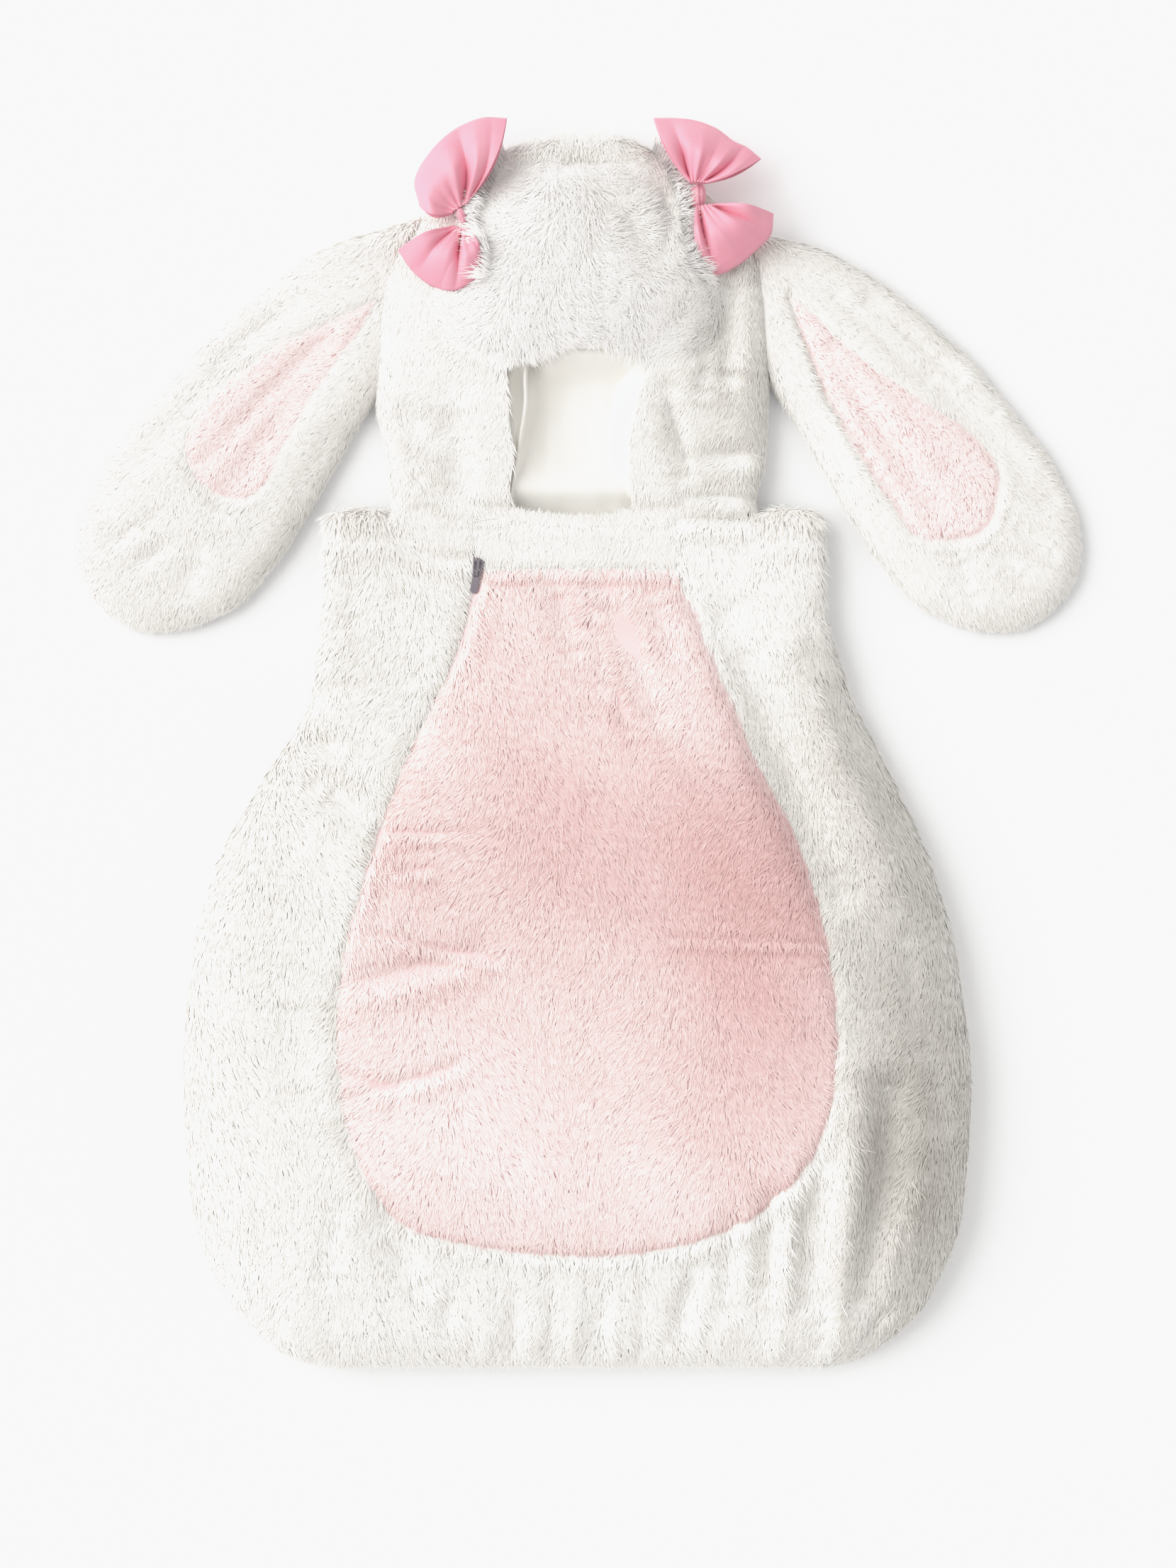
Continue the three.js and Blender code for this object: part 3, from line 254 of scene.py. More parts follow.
class Form:
    """A spread piece of the costume: its outline, how high it stands, and where it lies."""

    def __init__(self, name, rows, low, high, stand, reach, folds, seams=(), step=1.25, place=None):
        self.name, self.rows, self.low, self.high = name, rows, low, high
        self.stand, self.reach = stand, reach
        self.place = place or (lambda x, y: (x, y))
        ys = np.sort(np.concatenate([rows["y"], np.linspace(rows["y"][0], rows["y"][-1], 60)]))
        self.rim = np.concatenate([
            np.stack([column(rows, high, ys), ys], 1), np.stack([-column(rows, low, ys[::-1]), ys[::-1]], 1)])
        (x0, y0), (x1, y1) = self.rim.min(0) - 6, self.rim.max(0) + 6
        self.x0, self.y0, self.step = x0, y0, step
        gx, gy = np.meshgrid(np.arange(x0, x1, step), np.arange(y0, y1, step))
        self.shape = gx.shape
        x, y = gx.ravel(), gy.ravel()
        into = to_line(x, y, self.rim, closed=True)
        self.depth = np.where(inside(x, y, self.rim), into, -into).reshape(self.shape)
        height = fold_height(folds, x, y)
        for line, wide, deep in seams:
            near = np.abs(x - np.mean(line[:, 0])) < np.ptp(line[:, 0]) / 2 + 20
            near &= np.abs(y - np.mean(line[:, 1])) < np.ptp(line[:, 1]) / 2 + 20
            height[near] -= deep * np.exp(-(to_line(x[near], y[near], line) / wide) ** 2)
        self.fold = height.reshape(self.shape)

    def sample(self, grid, x, y):
        fx = np.clip((x - self.x0) / self.step, 0, self.shape[1] - 1.001)
        fy = np.clip((y - self.y0) / self.step, 0, self.shape[0] - 1.001)
        i, j = fx.astype(int), fy.astype(int)
        u, v = fx - i, fy - j
        return ((grid[j, i] * (1 - u) + grid[j, i + 1] * u) * (1 - v)
                + (grid[j + 1, i] * (1 - u) + grid[j + 1, i + 1] * u) * v)

    def into(self, x, y):
        return np.maximum(0, self.sample(self.depth, x, y))

    def top(self, x, y, inset=0.0):
        into = self.into(x, y)
        at = {key: column(self.stand, key, y) for key in ("seam", "wide", "rise", "crown")}
        inner = np.maximum(0, into - inset)
        z = (at["seam"] + (at["rise"] - inset) * quarter(inner / (at["wide"] - inset))
             + at["crown"] * swell(inner / self.reach))
        folds = self.sample(self.fold, x, y)
        if self.name == "tunic":
            return (z + mouth(x, y) * np.exp(-into / 20) + folds * smooth(into / 24)
                    + gather_height(x, y) * smooth((into - 2) / 16))
        if self.name == "hood":
            over = smooth(1 - np.hypot(x / 96, (y - 302) / 70) ** 2)
            z = z + 0.15 + folds * smooth(into / 18) + 8 * over
            return z + smooth((160 - y) / 15) * (TUNIC_FORM.top(x, y, inset) + 0.4 - z)
        return z + 0.15 + folds * smooth(into / 14)

    def under(self, x, y, inset=0.0):
        rim = column(self.stand, "seam", y) - (mouth(x, y) if self.name == "tunic" else 0.15)
        return inset * 0.3 + (rim - inset * 0.3) * (1 - quarter((self.into(x, y) - inset) / (12 - inset)))

    def normal(self, height, x, y):
        d = 1.2
        gx = (height(x + d, y) - height(x - d, y)) / (2 * d)
        gy = (height(x, y + d) - height(x, y - d)) / (2 * d)
        n = np.stack([-gx, -gy, np.ones(len(x))], 1)
        return n / np.linalg.norm(n, axis=1, keepdims=True)


EAR_AXIS = (0.6247, -0.7809)


def ear_place(sign):
    def place(x, y):
        return (sign * (105 + y * EAR_AXIS[0] - x * EAR_AXIS[1]), 305 + y * EAR_AXIS[1] + x * EAR_AXIS[0])
    return place


def edge_line(rows, key, sign):
    return [(sign * v, y) for v, y in zip(rows[key], rows["y"])]


# Outlines in plan, each anticlockwise or clockwise as it comes.
BELLY_LINE = curve([(-64, 112)] + edge_line(BELLY, "left", -1) + [(5, BELLY_LOW)]
                   + edge_line(BELLY, "right", 1)[::-1] + [(61, 112)], 140)
FACE_LINE = curve(edge_line(FACE, "left", -1) + [(6, 256)] + edge_line(FACE, "right", 1)[::-1], 80)
TUFT_LINE = curve(edge_line(TUFT, "left", -1) + [(4, 367)] + edge_line(TUFT, "right", 1)[::-1], 90)


def insert_line(key):
    root, rows, end = INSERTS[key]
    out = [(v, y) for v, y in zip(rows["outer"], rows["y"])]
    back = [(-v, y) for v, y in zip(rows["inner"], rows["y"])][::-1]
    return curve([root] + out + [end] + back + [root], 90)[:-1]


INSERT_LINES = {key: insert_line(key) for key in INSERTS}
LEFT_SEAM = np.array([p for p in BELLY_LINE if p[0] < 0 and -75 < p[1] < 112])
NECK_LINES = [curve(NECK_LEFT, 20), curve(NECK_RIGHT, 20)]
TUNIC_FORM = Form("tunic", TUNIC, "left", "right", TUNIC_STAND, 130, TUNIC_FOLDS,
                  [(BELLY_LINE, 3.5, 1.4), (LEFT_SEAM, 8, 2.0), (NECK_LINES[0], 5, 1.5),
                   (NECK_LINES[1], 5, 1.5),
                   (np.array([(-62.0, 113), (60, 113)]), 3, 0.8)])
HOOD_FORM = Form("hood", HOOD, "left", "right", HOOD_STAND, 70, HOOD_FOLDS, [(TUFT_LINE, 5, 1.2)])
# The left ear runs on at its root, in under the bow.
EAR_LEFT = dict(EAR, y=EAR["y"] + np.array([-11] + [0] * 13),
                outer=EAR["outer"] + np.array([0, 5.5, 4, 3] + [0] * 10))
EAR_FORMS = {key: Form("ear", rows, "inner", "outer", EAR_STAND, 46, EAR_FOLDS + OWN_EAR_FOLDS[key],
                       [(INSERT_LINES[key], 3, 0.9)], place=ear_place(sign))
             for key, rows, sign in (("left", EAR_LEFT, -1), ("right", EAR, 1))}


def hex_colour(code):
    """An sRGB hex colour as linear light."""
    parts = [int(code[i:i + 2], 16) / 255 for i in (1, 3, 5)]
    return tuple(c / 12.92 if c <= 0.04045 else ((c + 0.055) / 1.055) ** 2.4 for c in parts) + (1.0,)


def node(tree, kind, settings=None, inputs=None):
    """Adds a node with its settings, and with inputs that are values or another node's output."""
    made = tree.nodes.new(kind)
    for key, value in (settings or {}).items():
        setattr(made, key, value)
    for key, value in (inputs or {}).items():
        if isinstance(value, bpy.types.NodeSocket):
            tree.links.new(value, made.inputs[key])
        else:
            made.inputs[key].default_value = value
    return made


def material(name):
    made = bpy.data.materials.new(name)
    made.use_nodes = True
    tree = made.node_tree
    tree.nodes.clear()
    shader = tree.nodes.new("ShaderNodeBsdfPrincipled")
    out = tree.nodes.new("ShaderNodeOutputMaterial")
    tree.links.new(shader.outputs[0], out.inputs[0])
    return made, tree, shader


def plush(name, tip, root, sheen):
    """Acrylic fur: matt fibres whose tint runs from a painted-shade colour, used at the roots and in the
    painted shading, to the fibre colour, with a soft sheen where they turn from the light.
    """
    made, tree, shader = material(name)
    tint = node(tree, "ShaderNodeAttribute", {"attribute_name": "tint"}).outputs[2]
    mix = node(tree, "ShaderNodeMix", {"data_type": "RGBA"},
               {0: tint, 6: hex_colour(root), 7: hex_colour(tip)}).outputs[2]
    tree.links.new(mix, shader.inputs["Base Color"])
    shader.inputs["Roughness"].default_value = 0.9
    shader.inputs["Sheen Weight"].default_value = sheen
    shader.inputs["Sheen Roughness"].default_value = 0.6
    shader.inputs["Specular IOR Level"].default_value = 0.15
    return made


def backing(name, colour, shade):
    """The knitted backing between the roots of the pile, seen only as a soft ground."""
    made, tree, shader = material(name)
    where = node(tree, "ShaderNodeTexCoord").outputs["Object"]
    fine = node(tree, "ShaderNodeTexNoise", None, {"Vector": where, "Scale": 900.0, "Detail": 3.0}).outputs[0]
    broad = node(tree, "ShaderNodeTexNoise", None, {"Vector": where, "Scale": 28.0, "Detail": 2.0}).outputs[0]
    both = node(tree, "ShaderNodeMath", {"operation": "MULTIPLY"}, {0: fine, 1: broad}).outputs[0]
    mix = node(tree, "ShaderNodeMix", {"data_type": "RGBA"},
               {0: both, 6: hex_colour(shade), 7: hex_colour(colour)}).outputs[2]
    bump = node(tree, "ShaderNodeBump", None, {"Strength": 0.4, "Distance": 0.0006,
                                               "Height": fine}).outputs[0]
    tree.links.new(mix, shader.inputs["Base Color"])
    tree.links.new(bump, shader.inputs["Normal"])
    shader.inputs["Roughness"].default_value = 0.95
    shader.inputs["Specular IOR Level"].default_value = 0.1
    return made


def satin(name, colour, deep):
    """Polyester satin: a close weave that gives broad soft highlights across the pleats."""
    made, tree, shader = material(name)
    where = node(tree, "ShaderNodeTexCoord").outputs["Object"]
    cloud = node(tree, "ShaderNodeTexNoise", None, {"Vector": where, "Scale": 45.0, "Detail": 3.0}).outputs[0]
    mix = node(tree, "ShaderNodeMix", {"data_type": "RGBA"},
               {0: cloud, 6: hex_colour(deep), 7: hex_colour(colour)}).outputs[2]
    weave = node(tree, "ShaderNodeTexWave", {"wave_type": "BANDS", "bands_direction": "DIAGONAL"},
                 {"Vector": where, "Scale": 500.0, "Distortion": 1.5}).outputs[1]
    wrinkle = node(tree, "ShaderNodeTexNoise", None, {"Vector": where, "Scale": 160.0,
                                                      "Detail": 3.0}).outputs[0]
    relief = node(tree, "ShaderNodeMath", {"operation": "MULTIPLY_ADD"},
                  {0: weave, 1: 0.15, 2: wrinkle}).outputs[0]
    bump = node(tree, "ShaderNodeBump", None, {"Strength": 0.35, "Distance": 0.0008,
                                               "Height": relief}).outputs[0]
    tree.links.new(mix, shader.inputs["Base Color"])
    tree.links.new(bump, shader.inputs["Normal"])
    shader.inputs["Roughness"].default_value = 0.42
    shader.inputs["Sheen Weight"].default_value = 0.05
    shader.inputs["Specular IOR Level"].default_value = 0.3
    return made


def woven(name, colour, shade, scale, roughness):
    """Smooth lining or zip tape: a fine plain weave."""
    made, tree, shader = material(name)
    where = node(tree, "ShaderNodeTexCoord").outputs["Object"]
    threads = node(tree, "ShaderNodeTexWave", {"wave_type": "BANDS", "bands_direction": "X"},
                   {"Vector": where, "Scale": scale, "Distortion": 0.6}).outputs[1]
    cloud = node(tree, "ShaderNodeTexNoise", None, {"Vector": where, "Scale": 20.0, "Detail": 3.0}).outputs[0]
    mix = node(tree, "ShaderNodeMix", {"data_type": "RGBA"},
               {0: cloud, 6: hex_colour(shade), 7: hex_colour(colour)}).outputs[2]
    bump = node(tree, "ShaderNodeBump", None, {"Strength": 0.25, "Distance": 0.0003,
                                               "Height": threads}).outputs[0]
    tree.links.new(mix, shader.inputs["Base Color"])
    tree.links.new(bump, shader.inputs["Normal"])
    shader.inputs["Roughness"].default_value = roughness
    shader.inputs["Sheen Weight"].default_value = 0.2
    return made


def dark_metal(name):
    """Die-cast zinc with a gunmetal plating: dark, a little scuffed where fingers take it."""
    made, tree, shader = material(name)
    where = node(tree, "ShaderNodeTexCoord").outputs["Object"]
    scuff = node(tree, "ShaderNodeTexNoise", None, {"Vector": where, "Scale": 1400.0,
                                                    "Detail": 4.0}).outputs[0]
    mix = node(tree, "ShaderNodeMix", {"data_type": "RGBA"},
               {0: scuff, 6: hex_colour("#756d74"), 7: hex_colour("#9d959b")}).outputs[2]
    rough = node(tree, "ShaderNodeMapRange", None, {0: scuff, 3: 0.3, 4: 0.5}).outputs[0]
    tree.links.new(mix, shader.inputs["Base Color"])
    tree.links.new(rough, shader.inputs["Roughness"])
    shader.inputs["Metallic"].default_value = 0.75
    return made


# Each fur's second colour is its painted shade, mixed in by the tint.
WHITE = plush("white_acrylic_fur", "#fdfaf5", "#c9c4bb", 0.1)
LONG = plush("long_white_acrylic_fur", "#fefcf9", "#dbd4c8", 0.1)
PINK = plush("pale_pink_acrylic_fur", "#ffebe8", "#deb0ac", 0.1)
WHITE_GROUND = backing("white_knitted_backing", "#faf8f5", "#efece6")
PINK_GROUND = backing("pink_knitted_backing", "#f6dad8", "#efcbca")
SATIN = satin("pink_polyester_satin", "#f0a8b6", "#e792a5")
LINING = woven("off_white_tricot_lining", "#f9f6f0", "#f2eee5", 900.0, 0.7)
TAPE = woven("white_zip_tape", "#f1efec", "#e5e2dd", 1500.0, 0.8)
METAL = dark_metal("gunmetal_plated_zinc")


def finish_piece(made, mat):
    made.data.materials.append(mat)
    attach(made, "garment")
    return made


def cloth(name, mapping, across, down, mat, wall=WALL):
    """A shell of cloth: a grid whose points are laid where the mapping says, with a wall below it."""
    bm = bmesh.new()
    bmesh.ops.create_grid(bm, x_segments=across, y_segments=down, size=1)
    points = np.array([v.co[:] for v in bm.verts])
    x, y, z = mapping((points[:, 0] + 1) / 2, (points[:, 1] + 1) / 2)
    for v, a, b, c in zip(bm.verts, x, y, z):
        v.co = Vector((a, b, c)) * MM
    bmesh.ops.remove_doubles(bm, verts=bm.verts, dist=2e-5)
    bmesh.ops.dissolve_degenerate(bm, edges=bm.edges, dist=1e-6)
    up = sum(f.calc_area() * f.normal.z for f in bm.faces)
    if (up < 0) != (wall < 0):
        bmesh.ops.reverse_faces(bm, faces=bm.faces)
    mesh = bpy.data.meshes.new(name)
    bm.to_mesh(mesh)
    bm.free()
    made = bpy.data.objects.new(name, mesh)
    bpy.context.scene.collection.objects.link(made)
    for p in mesh.polygons:
        p.use_smooth = True
    solid = made.modifiers.new("wall", "SOLIDIFY")
    solid.thickness = abs(wall) * MM
    solid.offset = -1
    return finish_piece(made, mat)


def partway(line, u):
    """Points at a share of the way along a line."""
    i = u * (len(line) - 1)
    k = np.minimum(i.astype(int), len(line) - 2)
    f = (i - k)[:, None]
    return line[k] * (1 - f) + line[k + 1] * f


def between(inner, outer, top):
    """Lays a grid between two lines that run the same way."""
    def mapping(u, v):
        p = partway(inner, u) * (1 - v[:, None]) + partway(outer, u) * v[:, None]
        return p[:, 0], p[:, 1], top(p[:, 0], p[:, 1])
    return mapping


def filling(outline, centre, top):
    """Lays a grid from a middle point out to a closed line."""
    ring = np.vstack([outline, outline[:1]])
    return between(np.tile(np.array(centre, float), (len(ring), 1)), ring, top)


def inset_line(line, by, closed=True):
    """A line moved to its left by a distance."""
    p = np.array(line, float)
    d = (np.roll(p, -1, 0) - np.roll(p, 1, 0)) if closed else np.gradient(p, axis=0)
    d /= np.maximum(np.linalg.norm(d, axis=1, keepdims=True), 1e-9)
    return p + np.stack([-d[:, 1], d[:, 0]], 1) * by


rng = np.random.default_rng(17)


def unit(v):
    return v / np.maximum(np.linalg.norm(v, axis=1, keepdims=True), 1e-9)


def soft_noise(x, y, size, seed):
    """A smooth random field between -1 and 1, with features of a size."""
    local = np.random.default_rng(seed)
    total = np.zeros(len(x))
    for k in range(5):
        turn, phase = local.uniform(0, 2 * np.pi, 2)
        wave = 2 * np.pi / (size * local.uniform(0.7, 1.6))
        total += np.sin((x * np.cos(turn) + y * np.sin(turn)) * wave + phase)
    return total / 2.5


def fur(name, form, keep, count, mat, box=None, pile=1.35, length=8.5, width=0.9,
        flow=(0, -1), spread=0.45, clump=7.0, pull=0.2, below=False, wisps=0.06, nap=(),
        tone=(0.64, 1.0), sunk=None, seam=None):
    """A coat of pile: tapered locks rooted in the cloth, lying down the nap and drawn a little together.
    keep says which points of the plan carry this piece's pile. A few in a hundred stand out as wisps. nap
    holds patches of painted light and shade and seam a line of painted shade, both laid into the tint; the
    roots are painted darker than the tips, as painted shade."""
    (x0, y0), (x1, y1) = box or (form.rim.min(0), form.rim.max(0))
    height = form.under if below else form.top
    x, y = np.empty(0), np.empty(0)
    for _ in range(14):
        px, py = rng.uniform(x0, x1, count * 3), rng.uniform(y0, y1, count * 3)
        ok = keep(px, py)
        px, py = px[ok], py[ok]
        steep = np.minimum(1 / np.maximum(form.normal(height, px, py)[:, 2], 0.05), 5)
        chosen = rng.uniform(0, 5 if not below else 3, len(px)) < steep
        x, y = np.concatenate([x, px[chosen]]), np.concatenate([y, py[chosen]])
        if len(x) >= count:
            break
    x, y = x[:count], y[:count]
    count = len(x)
    n = form.normal(height, x, y)
    level = height(x, y)
    if below:
        n = n * np.array([1, 1, -1])
    wisp = rng.uniform(0, 1, count) < wisps
    root = np.stack([x, y, level], 1) - n * (pile if sunk is None else sunk)
    swirl = (soft_noise(x, y, 120, 3) + 0.5 * soft_noise(x, y, 30, 5)) * spread + rng.normal(0, 0.22, count)
    swirl += np.where(wisp, rng.normal(0, 0.35, count), 0)
    base = math.atan2(flow[1], flow[0])
    way = np.stack([np.cos(base + swirl), np.sin(base + swirl), np.zeros(count)], 1)
    # Close to the rim it leans outward, which makes the edge soft.
    edge = np.stack([form.sample(form.depth, x - 1, y) - form.sample(form.depth, x + 1, y),
                     form.sample(form.depth, x, y - 1) - form.sample(form.depth, x, y + 1),
                     np.zeros(count)], 1) / 2
    at_rim = smooth(1 - form.into(x, y) / 6)[:, None]
    lean_out = (0 if below else 0.6) * at_rim * rng.uniform(0.4, 1, (count, 1))
    way = way * (1 - lean_out) + edge * lean_out
    way = unit(way - n * (way * n).sum(1, keepdims=True))
    long = length * rng.uniform(0.8, 1.2, count) * np.where(wisp, 1.25, 1)
    rise = np.clip(pile / long, 0.05, 0.8) * np.where(wisp, 1.35, rng.uniform(0.75, 1.0, count))
    lean = np.sqrt(1 - rise ** 2)
    tip = root + way * (long * lean)[:, None] + n * (long * rise)[:, None]
    middle = root + way * (long * lean * 0.4)[:, None] + n * (long * rise * 0.75)[:, None]
    # Each lock's tip is drawn towards the middle of its clump.
    cell = np.stack([np.floor(x / clump), np.floor(y / clump)], 1)
    seed = np.abs(np.sin(cell[:, 0] * 127.1 + cell[:, 1] * 311.7) * 43758.5453)
    jx, jy = seed % 1, (seed * 7.31) % 1
    heart = np.stack([(cell[:, 0] + 0.2 + 0.6 * jx) * clump, (cell[:, 1] + 0.2 + 0.6 * jy) * clump], 1)
    toward = np.concatenate([heart - np.stack([x, y], 1), np.zeros((count, 1))], 1)
    toward -= n * (toward * n).sum(1, keepdims=True)
    tip += toward * pull
    middle += toward * pull * 0.4
    across = unit(np.cross(way, n)) + n * rng.normal(0, 0.12, count)[:, None]
    w = width * rng.uniform(0.7, 1.3, count)[:, None] / 2 * np.where(wisp, 0.6, 1)[:, None]
    points = np.stack([root, middle + across * w, middle - across * w, tip], 1)
    flat = points.reshape(-1, 3)
    px, py = form.place(flat[:, 0], flat[:, 1])
    placed = np.stack([px, py, np.maximum(flat[:, 2], 0.15)], 1) * MM
    ex, ey = form.place(x + n[:, 0], y + n[:, 1])
    ox, oy = form.place(x, y)
    world_n = np.stack([ex - ox, ey - oy, n[:, 2]], 1)
    a, b = np.subtract(form.place(1, 0), form.place(0, 0))
    c, d = np.subtract(form.place(0, 1), form.place(0, 0))
    order = [0, 1, 2, 1, 3, 2] if a * d > b * c else [0, 2, 1, 2, 3, 1]
    loops = (np.arange(count)[:, None] * 4 + np.array(order)[None, :]).astype(np.int32)
    mesh = bpy.data.meshes.new(name)
    mesh.vertices.add(count * 4)
    mesh.vertices.foreach_set("co", placed.ravel().astype(np.float32))
    mesh.loops.add(loops.size)
    mesh.loops.foreach_set("vertex_index", loops.ravel())
    mesh.polygons.add(count * 2)
    mesh.polygons.foreach_set("loop_start", (np.arange(count * 2) * 3).astype(np.int32))
    mesh.update(calc_edges=True)
    tint = mesh.attributes.new("tint", "FLOAT", "POINT")
    low, high = tone
    patch = 0.5 + 0.5 * soft_noise(x, y, 60, 11)
    # Painted light and shade: each nap patch lightens or darkens the tint, and the seam line below darkens it
    # as painted shade.
    painted_shading = sum((by * np.exp(-((placed[3::4, 0] / MM - cx) / rx) ** 2
                             - ((placed[3::4, 1] / MM - cy) / ry) ** 2)
                 for cx, cy, rx, ry, by in nap), np.zeros(count))
    if seam:
        line, reach, by = seam
        painted_shading = painted_shading + by * np.exp(-(to_line(x, y, line) / reach) ** 2)
    own = np.clip(0.62 + 0.25 * (patch - 0.5) + rng.normal(0, 0.12, count) + np.where(wisp, 0.3, 0), 0, 1)
    # Painted shade: the root and middle of each lock are darker than its tip.
    values = low + (high - low) * np.stack([own * 0.8, own * 0.95, own * 0.95, own], 1) + painted_shading[:, None]
    tint.data.foreach_set("value", values.ravel().astype(np.float32))
    ax, ay = form.place(x + across[:, 0], y + across[:, 1])
    world_across = np.stack([ax - ox, ay - oy, across[:, 2]], 1)
    side = np.array([0.0, 0.12, -0.12, 0.0])
    normals = unit((world_n[:, None, :] + world_across[:, None, :] * side[None, :, None]
                    + rng.normal(0, 0.035, (count, 1, 3))).reshape(-1, 3))
    mesh.normals_split_custom_set_from_vertices(normals.astype(np.float32))
    made = bpy.data.objects.new(name, mesh)
    bpy.context.scene.collection.objects.link(made)
    return finish_piece(made, mat)


def lay(nodes):
    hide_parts(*nodes)


def on_form(form, seam=None):
    """The cloth's level on its form, a little lower along a seam."""
    def level(x, y):
        down = 0 if seam is None else 0.8 * np.exp(-(to_line(x, y, seam) / 1.2) ** 2)
        return form.top(x, y, PILE) - down
    return level


# camera, floor and light
scene = bpy.context.scene
camera = bpy.data.objects.new("camera", bpy.data.cameras.new("camera"))
scene.collection.objects.link(camera)
scene.camera = camera
FRAME_HIGH = 2212 * PIXEL * MM
MIDDLE_X, MIDDLE_Y = 6.5, -26.1
CAMERA_UP, CLOTH_LEVEL = 2.417, 0.017
camera.data.sensor_fit = "VERTICAL"
camera.data.sensor_height = 36
camera.data.lens = 36 * (CAMERA_UP - CLOTH_LEVEL) / FRAME_HIGH
camera.location = (MIDDLE_X * MM, MIDDLE_Y * MM, CAMERA_UP)
camera.data.clip_end = 20

floor_mat, _, floor_shader = material("pale_table")
floor_shader.inputs["Base Color"].default_value = hex_colour("#fafafa")
floor_shader.inputs["Roughness"].default_value = 0.9
floor_shader.inputs["Specular IOR Level"].default_value = 0.0
# A little light of its own keeps the shadows on the table as pale as the picture has them.
floor_shader.inputs["Emission Color"].default_value = hex_colour("#ffffff")
floor_shader.inputs["Emission Strength"].default_value = 0.05
floor_mat.cycles.emission_sampling = "NONE"
floor_mesh = bpy.data.meshes.new("floor")
bm = bmesh.new()
bmesh.ops.create_grid(bm, x_segments=1, y_segments=1, size=6)
bm.to_mesh(floor_mesh)
bm.free()
floor = bpy.data.objects.new("floor", floor_mesh)
scene.collection.objects.link(floor)
floor_mesh.materials.append(floor_mat)

world = bpy.data.worlds.new("studio")
scene.world = world
world.use_nodes = True
world.node_tree.nodes["Background"].inputs[0].default_value = hex_colour("#ffffff")
world.node_tree.nodes["Background"].inputs[1].default_value = 0.72

window = bpy.data.objects.new("window_light", bpy.data.lights.new("window_light", "SUN"))
window.data.energy = 2.85
window.data.angle = math.radians(60)
window.rotation_euler = Vector((0.80, -0.22, -0.62)).to_track_quat("-Z", "Y").to_euler()
scene.collection.objects.link(window)
# The picture's whites end a little short of full white, as an overexposed studio shot does.
view = scene.view_settings
view.view_transform = "Standard"
view.look = "None"
view.use_curve_mapping = True
tone = view.curve_mapping
tone.white_level = (1.4, 1.4, 1.4)
tone.extend = "HORIZONTAL"
shoulder = tone.curves[3]
for light, shown in ((0.70 / 1.4, 0.70), (0.88 / 1.4, 0.85), (1.02 / 1.4, 0.92)):
    shoulder.points.new(light, shown)
shoulder.points[0].location = (0, 0)
shoulder.points[-1].location = (1, 0.93)
tone.update()

# the tunic
tunic, hood = TUNIC_FORM, HOOD_FORM
zip_line = inset_line(BELLY_LINE, -1.75, closed=False)
zip_line = np.vstack([[(ZIP_X, 141)], [p for p in zip_line if p[0] < 0 and p[1] > -14]])
slider_pocket = [(-62.0, 118.6), (-66.2, 92.2)]
neck_area = NECK_LEFT + [(-64.5, 141)] + NECK_RIGHT + [(150, 150), (150, 460), (-150, 460), (-150, 150)]

# The tunic front: from the neckline on the zip side, round the belly, to the other side of the neckline.
left_start = [tuple(p) for p in spaced([(-126, 148)] + NECK_LEFT[1:] + [(-67.6, 116)], 16)]
belly_side = np.array(inset_line(BELLY_LINE, 0.2, closed=False))
zip_side = (belly_side[:, 0] < 0) & (belly_side[:, 1] > -20)
aside = 0.2 + np.where(zip_side, 1.0 + 1.8 * smooth((belly_side[:, 1] - 70) / 20), 0)
belly_side[:, 0] -= np.where(belly_side[:, 1] > BELLY_LOW, aside, 0)
round_belly = [(-68, 112)] + [tuple(p) for p in belly_side if p[1] < 108]
inner_front = np.vstack([left_start[:-1], spaced(round_belly, 130),
                         spaced([(62.6, 112), (62.6, 140), (76, 143), (98, 141), (126, 148)], 16)])


def drawn_rim(form, by, ys, key, sign):
    steps = np.array([-1, -0.9, -0.7, -0.35, 0, 0.35, 0.7, 0.9, 1])
    widths = np.min([column(form.rows, key, np.asarray(ys) + d * by) - by * math.sqrt(1 - d * d)
                     for d in steps], axis=0)
    return np.stack([sign * widths, ys], 1)


side_ys = np.concatenate([np.linspace(100, -330, 40), np.linspace(-338, HEM_Y + PILE, 14)])
outer_left = drawn_rim(tunic, PILE, side_ys, "left", -1)
outer_right = drawn_rim(tunic, PILE, side_ys, "right", 1)[::-1]
hem_line = np.stack([np.linspace(outer_left[-1, 0], outer_right[0, 0], 40)[1:-1],
                     np.full(38, HEM_Y + PILE)], 1)
left_top = spaced([(-127, SHOULDER_Y - PILE), (-148, SHOULDER_Y - PILE), (-156, 143), (-158, 130),
                   tuple(outer_left[0])], 16)[:-1]
right_top = spaced([tuple(outer_right[-1]), (153, 130), (151, 143), (143, SHOULDER_Y - PILE),
                    (127, SHOULDER_Y - PILE)], 16)
outer_front = np.vstack([left_top, spaced(np.vstack([outer_left, hem_line, outer_right]), 130), right_top])

front = cloth("tunic_front_cloth", between(inner_front, outer_front, on_form(tunic)), 420, 44, WHITE_GROUND)
belly_in = inset_line(BELLY_LINE, -0.8, closed=False)
belly = cloth("belly_cloth", filling(belly_in, (5, -150), on_form(tunic, belly_in)), 300, 120, PINK_GROUND)


def band_edge(x):
    """The band's upper edge hangs a little in the face opening."""
    return np.where((x > -44) & (x < 36), 139.0 + 5.2 * ((x - 2) / 46) ** 2, 140.5)


def band_map(u, v):
    x = -63.5 + 125 * u
    y = 113 + (band_edge(x) - 113) * v
    x -= 2.6 * smooth((y - 117) / 3) * (1 - smooth((y - 126) / 14)) * (1 - u)
    return x, y, tunic.top(x, y, PILE) - 4.5 * smooth((v - 0.8) / 0.3) ** 2


band = cloth("neck_band_cloth", band_map, 60, 24, WHITE_GROUND)


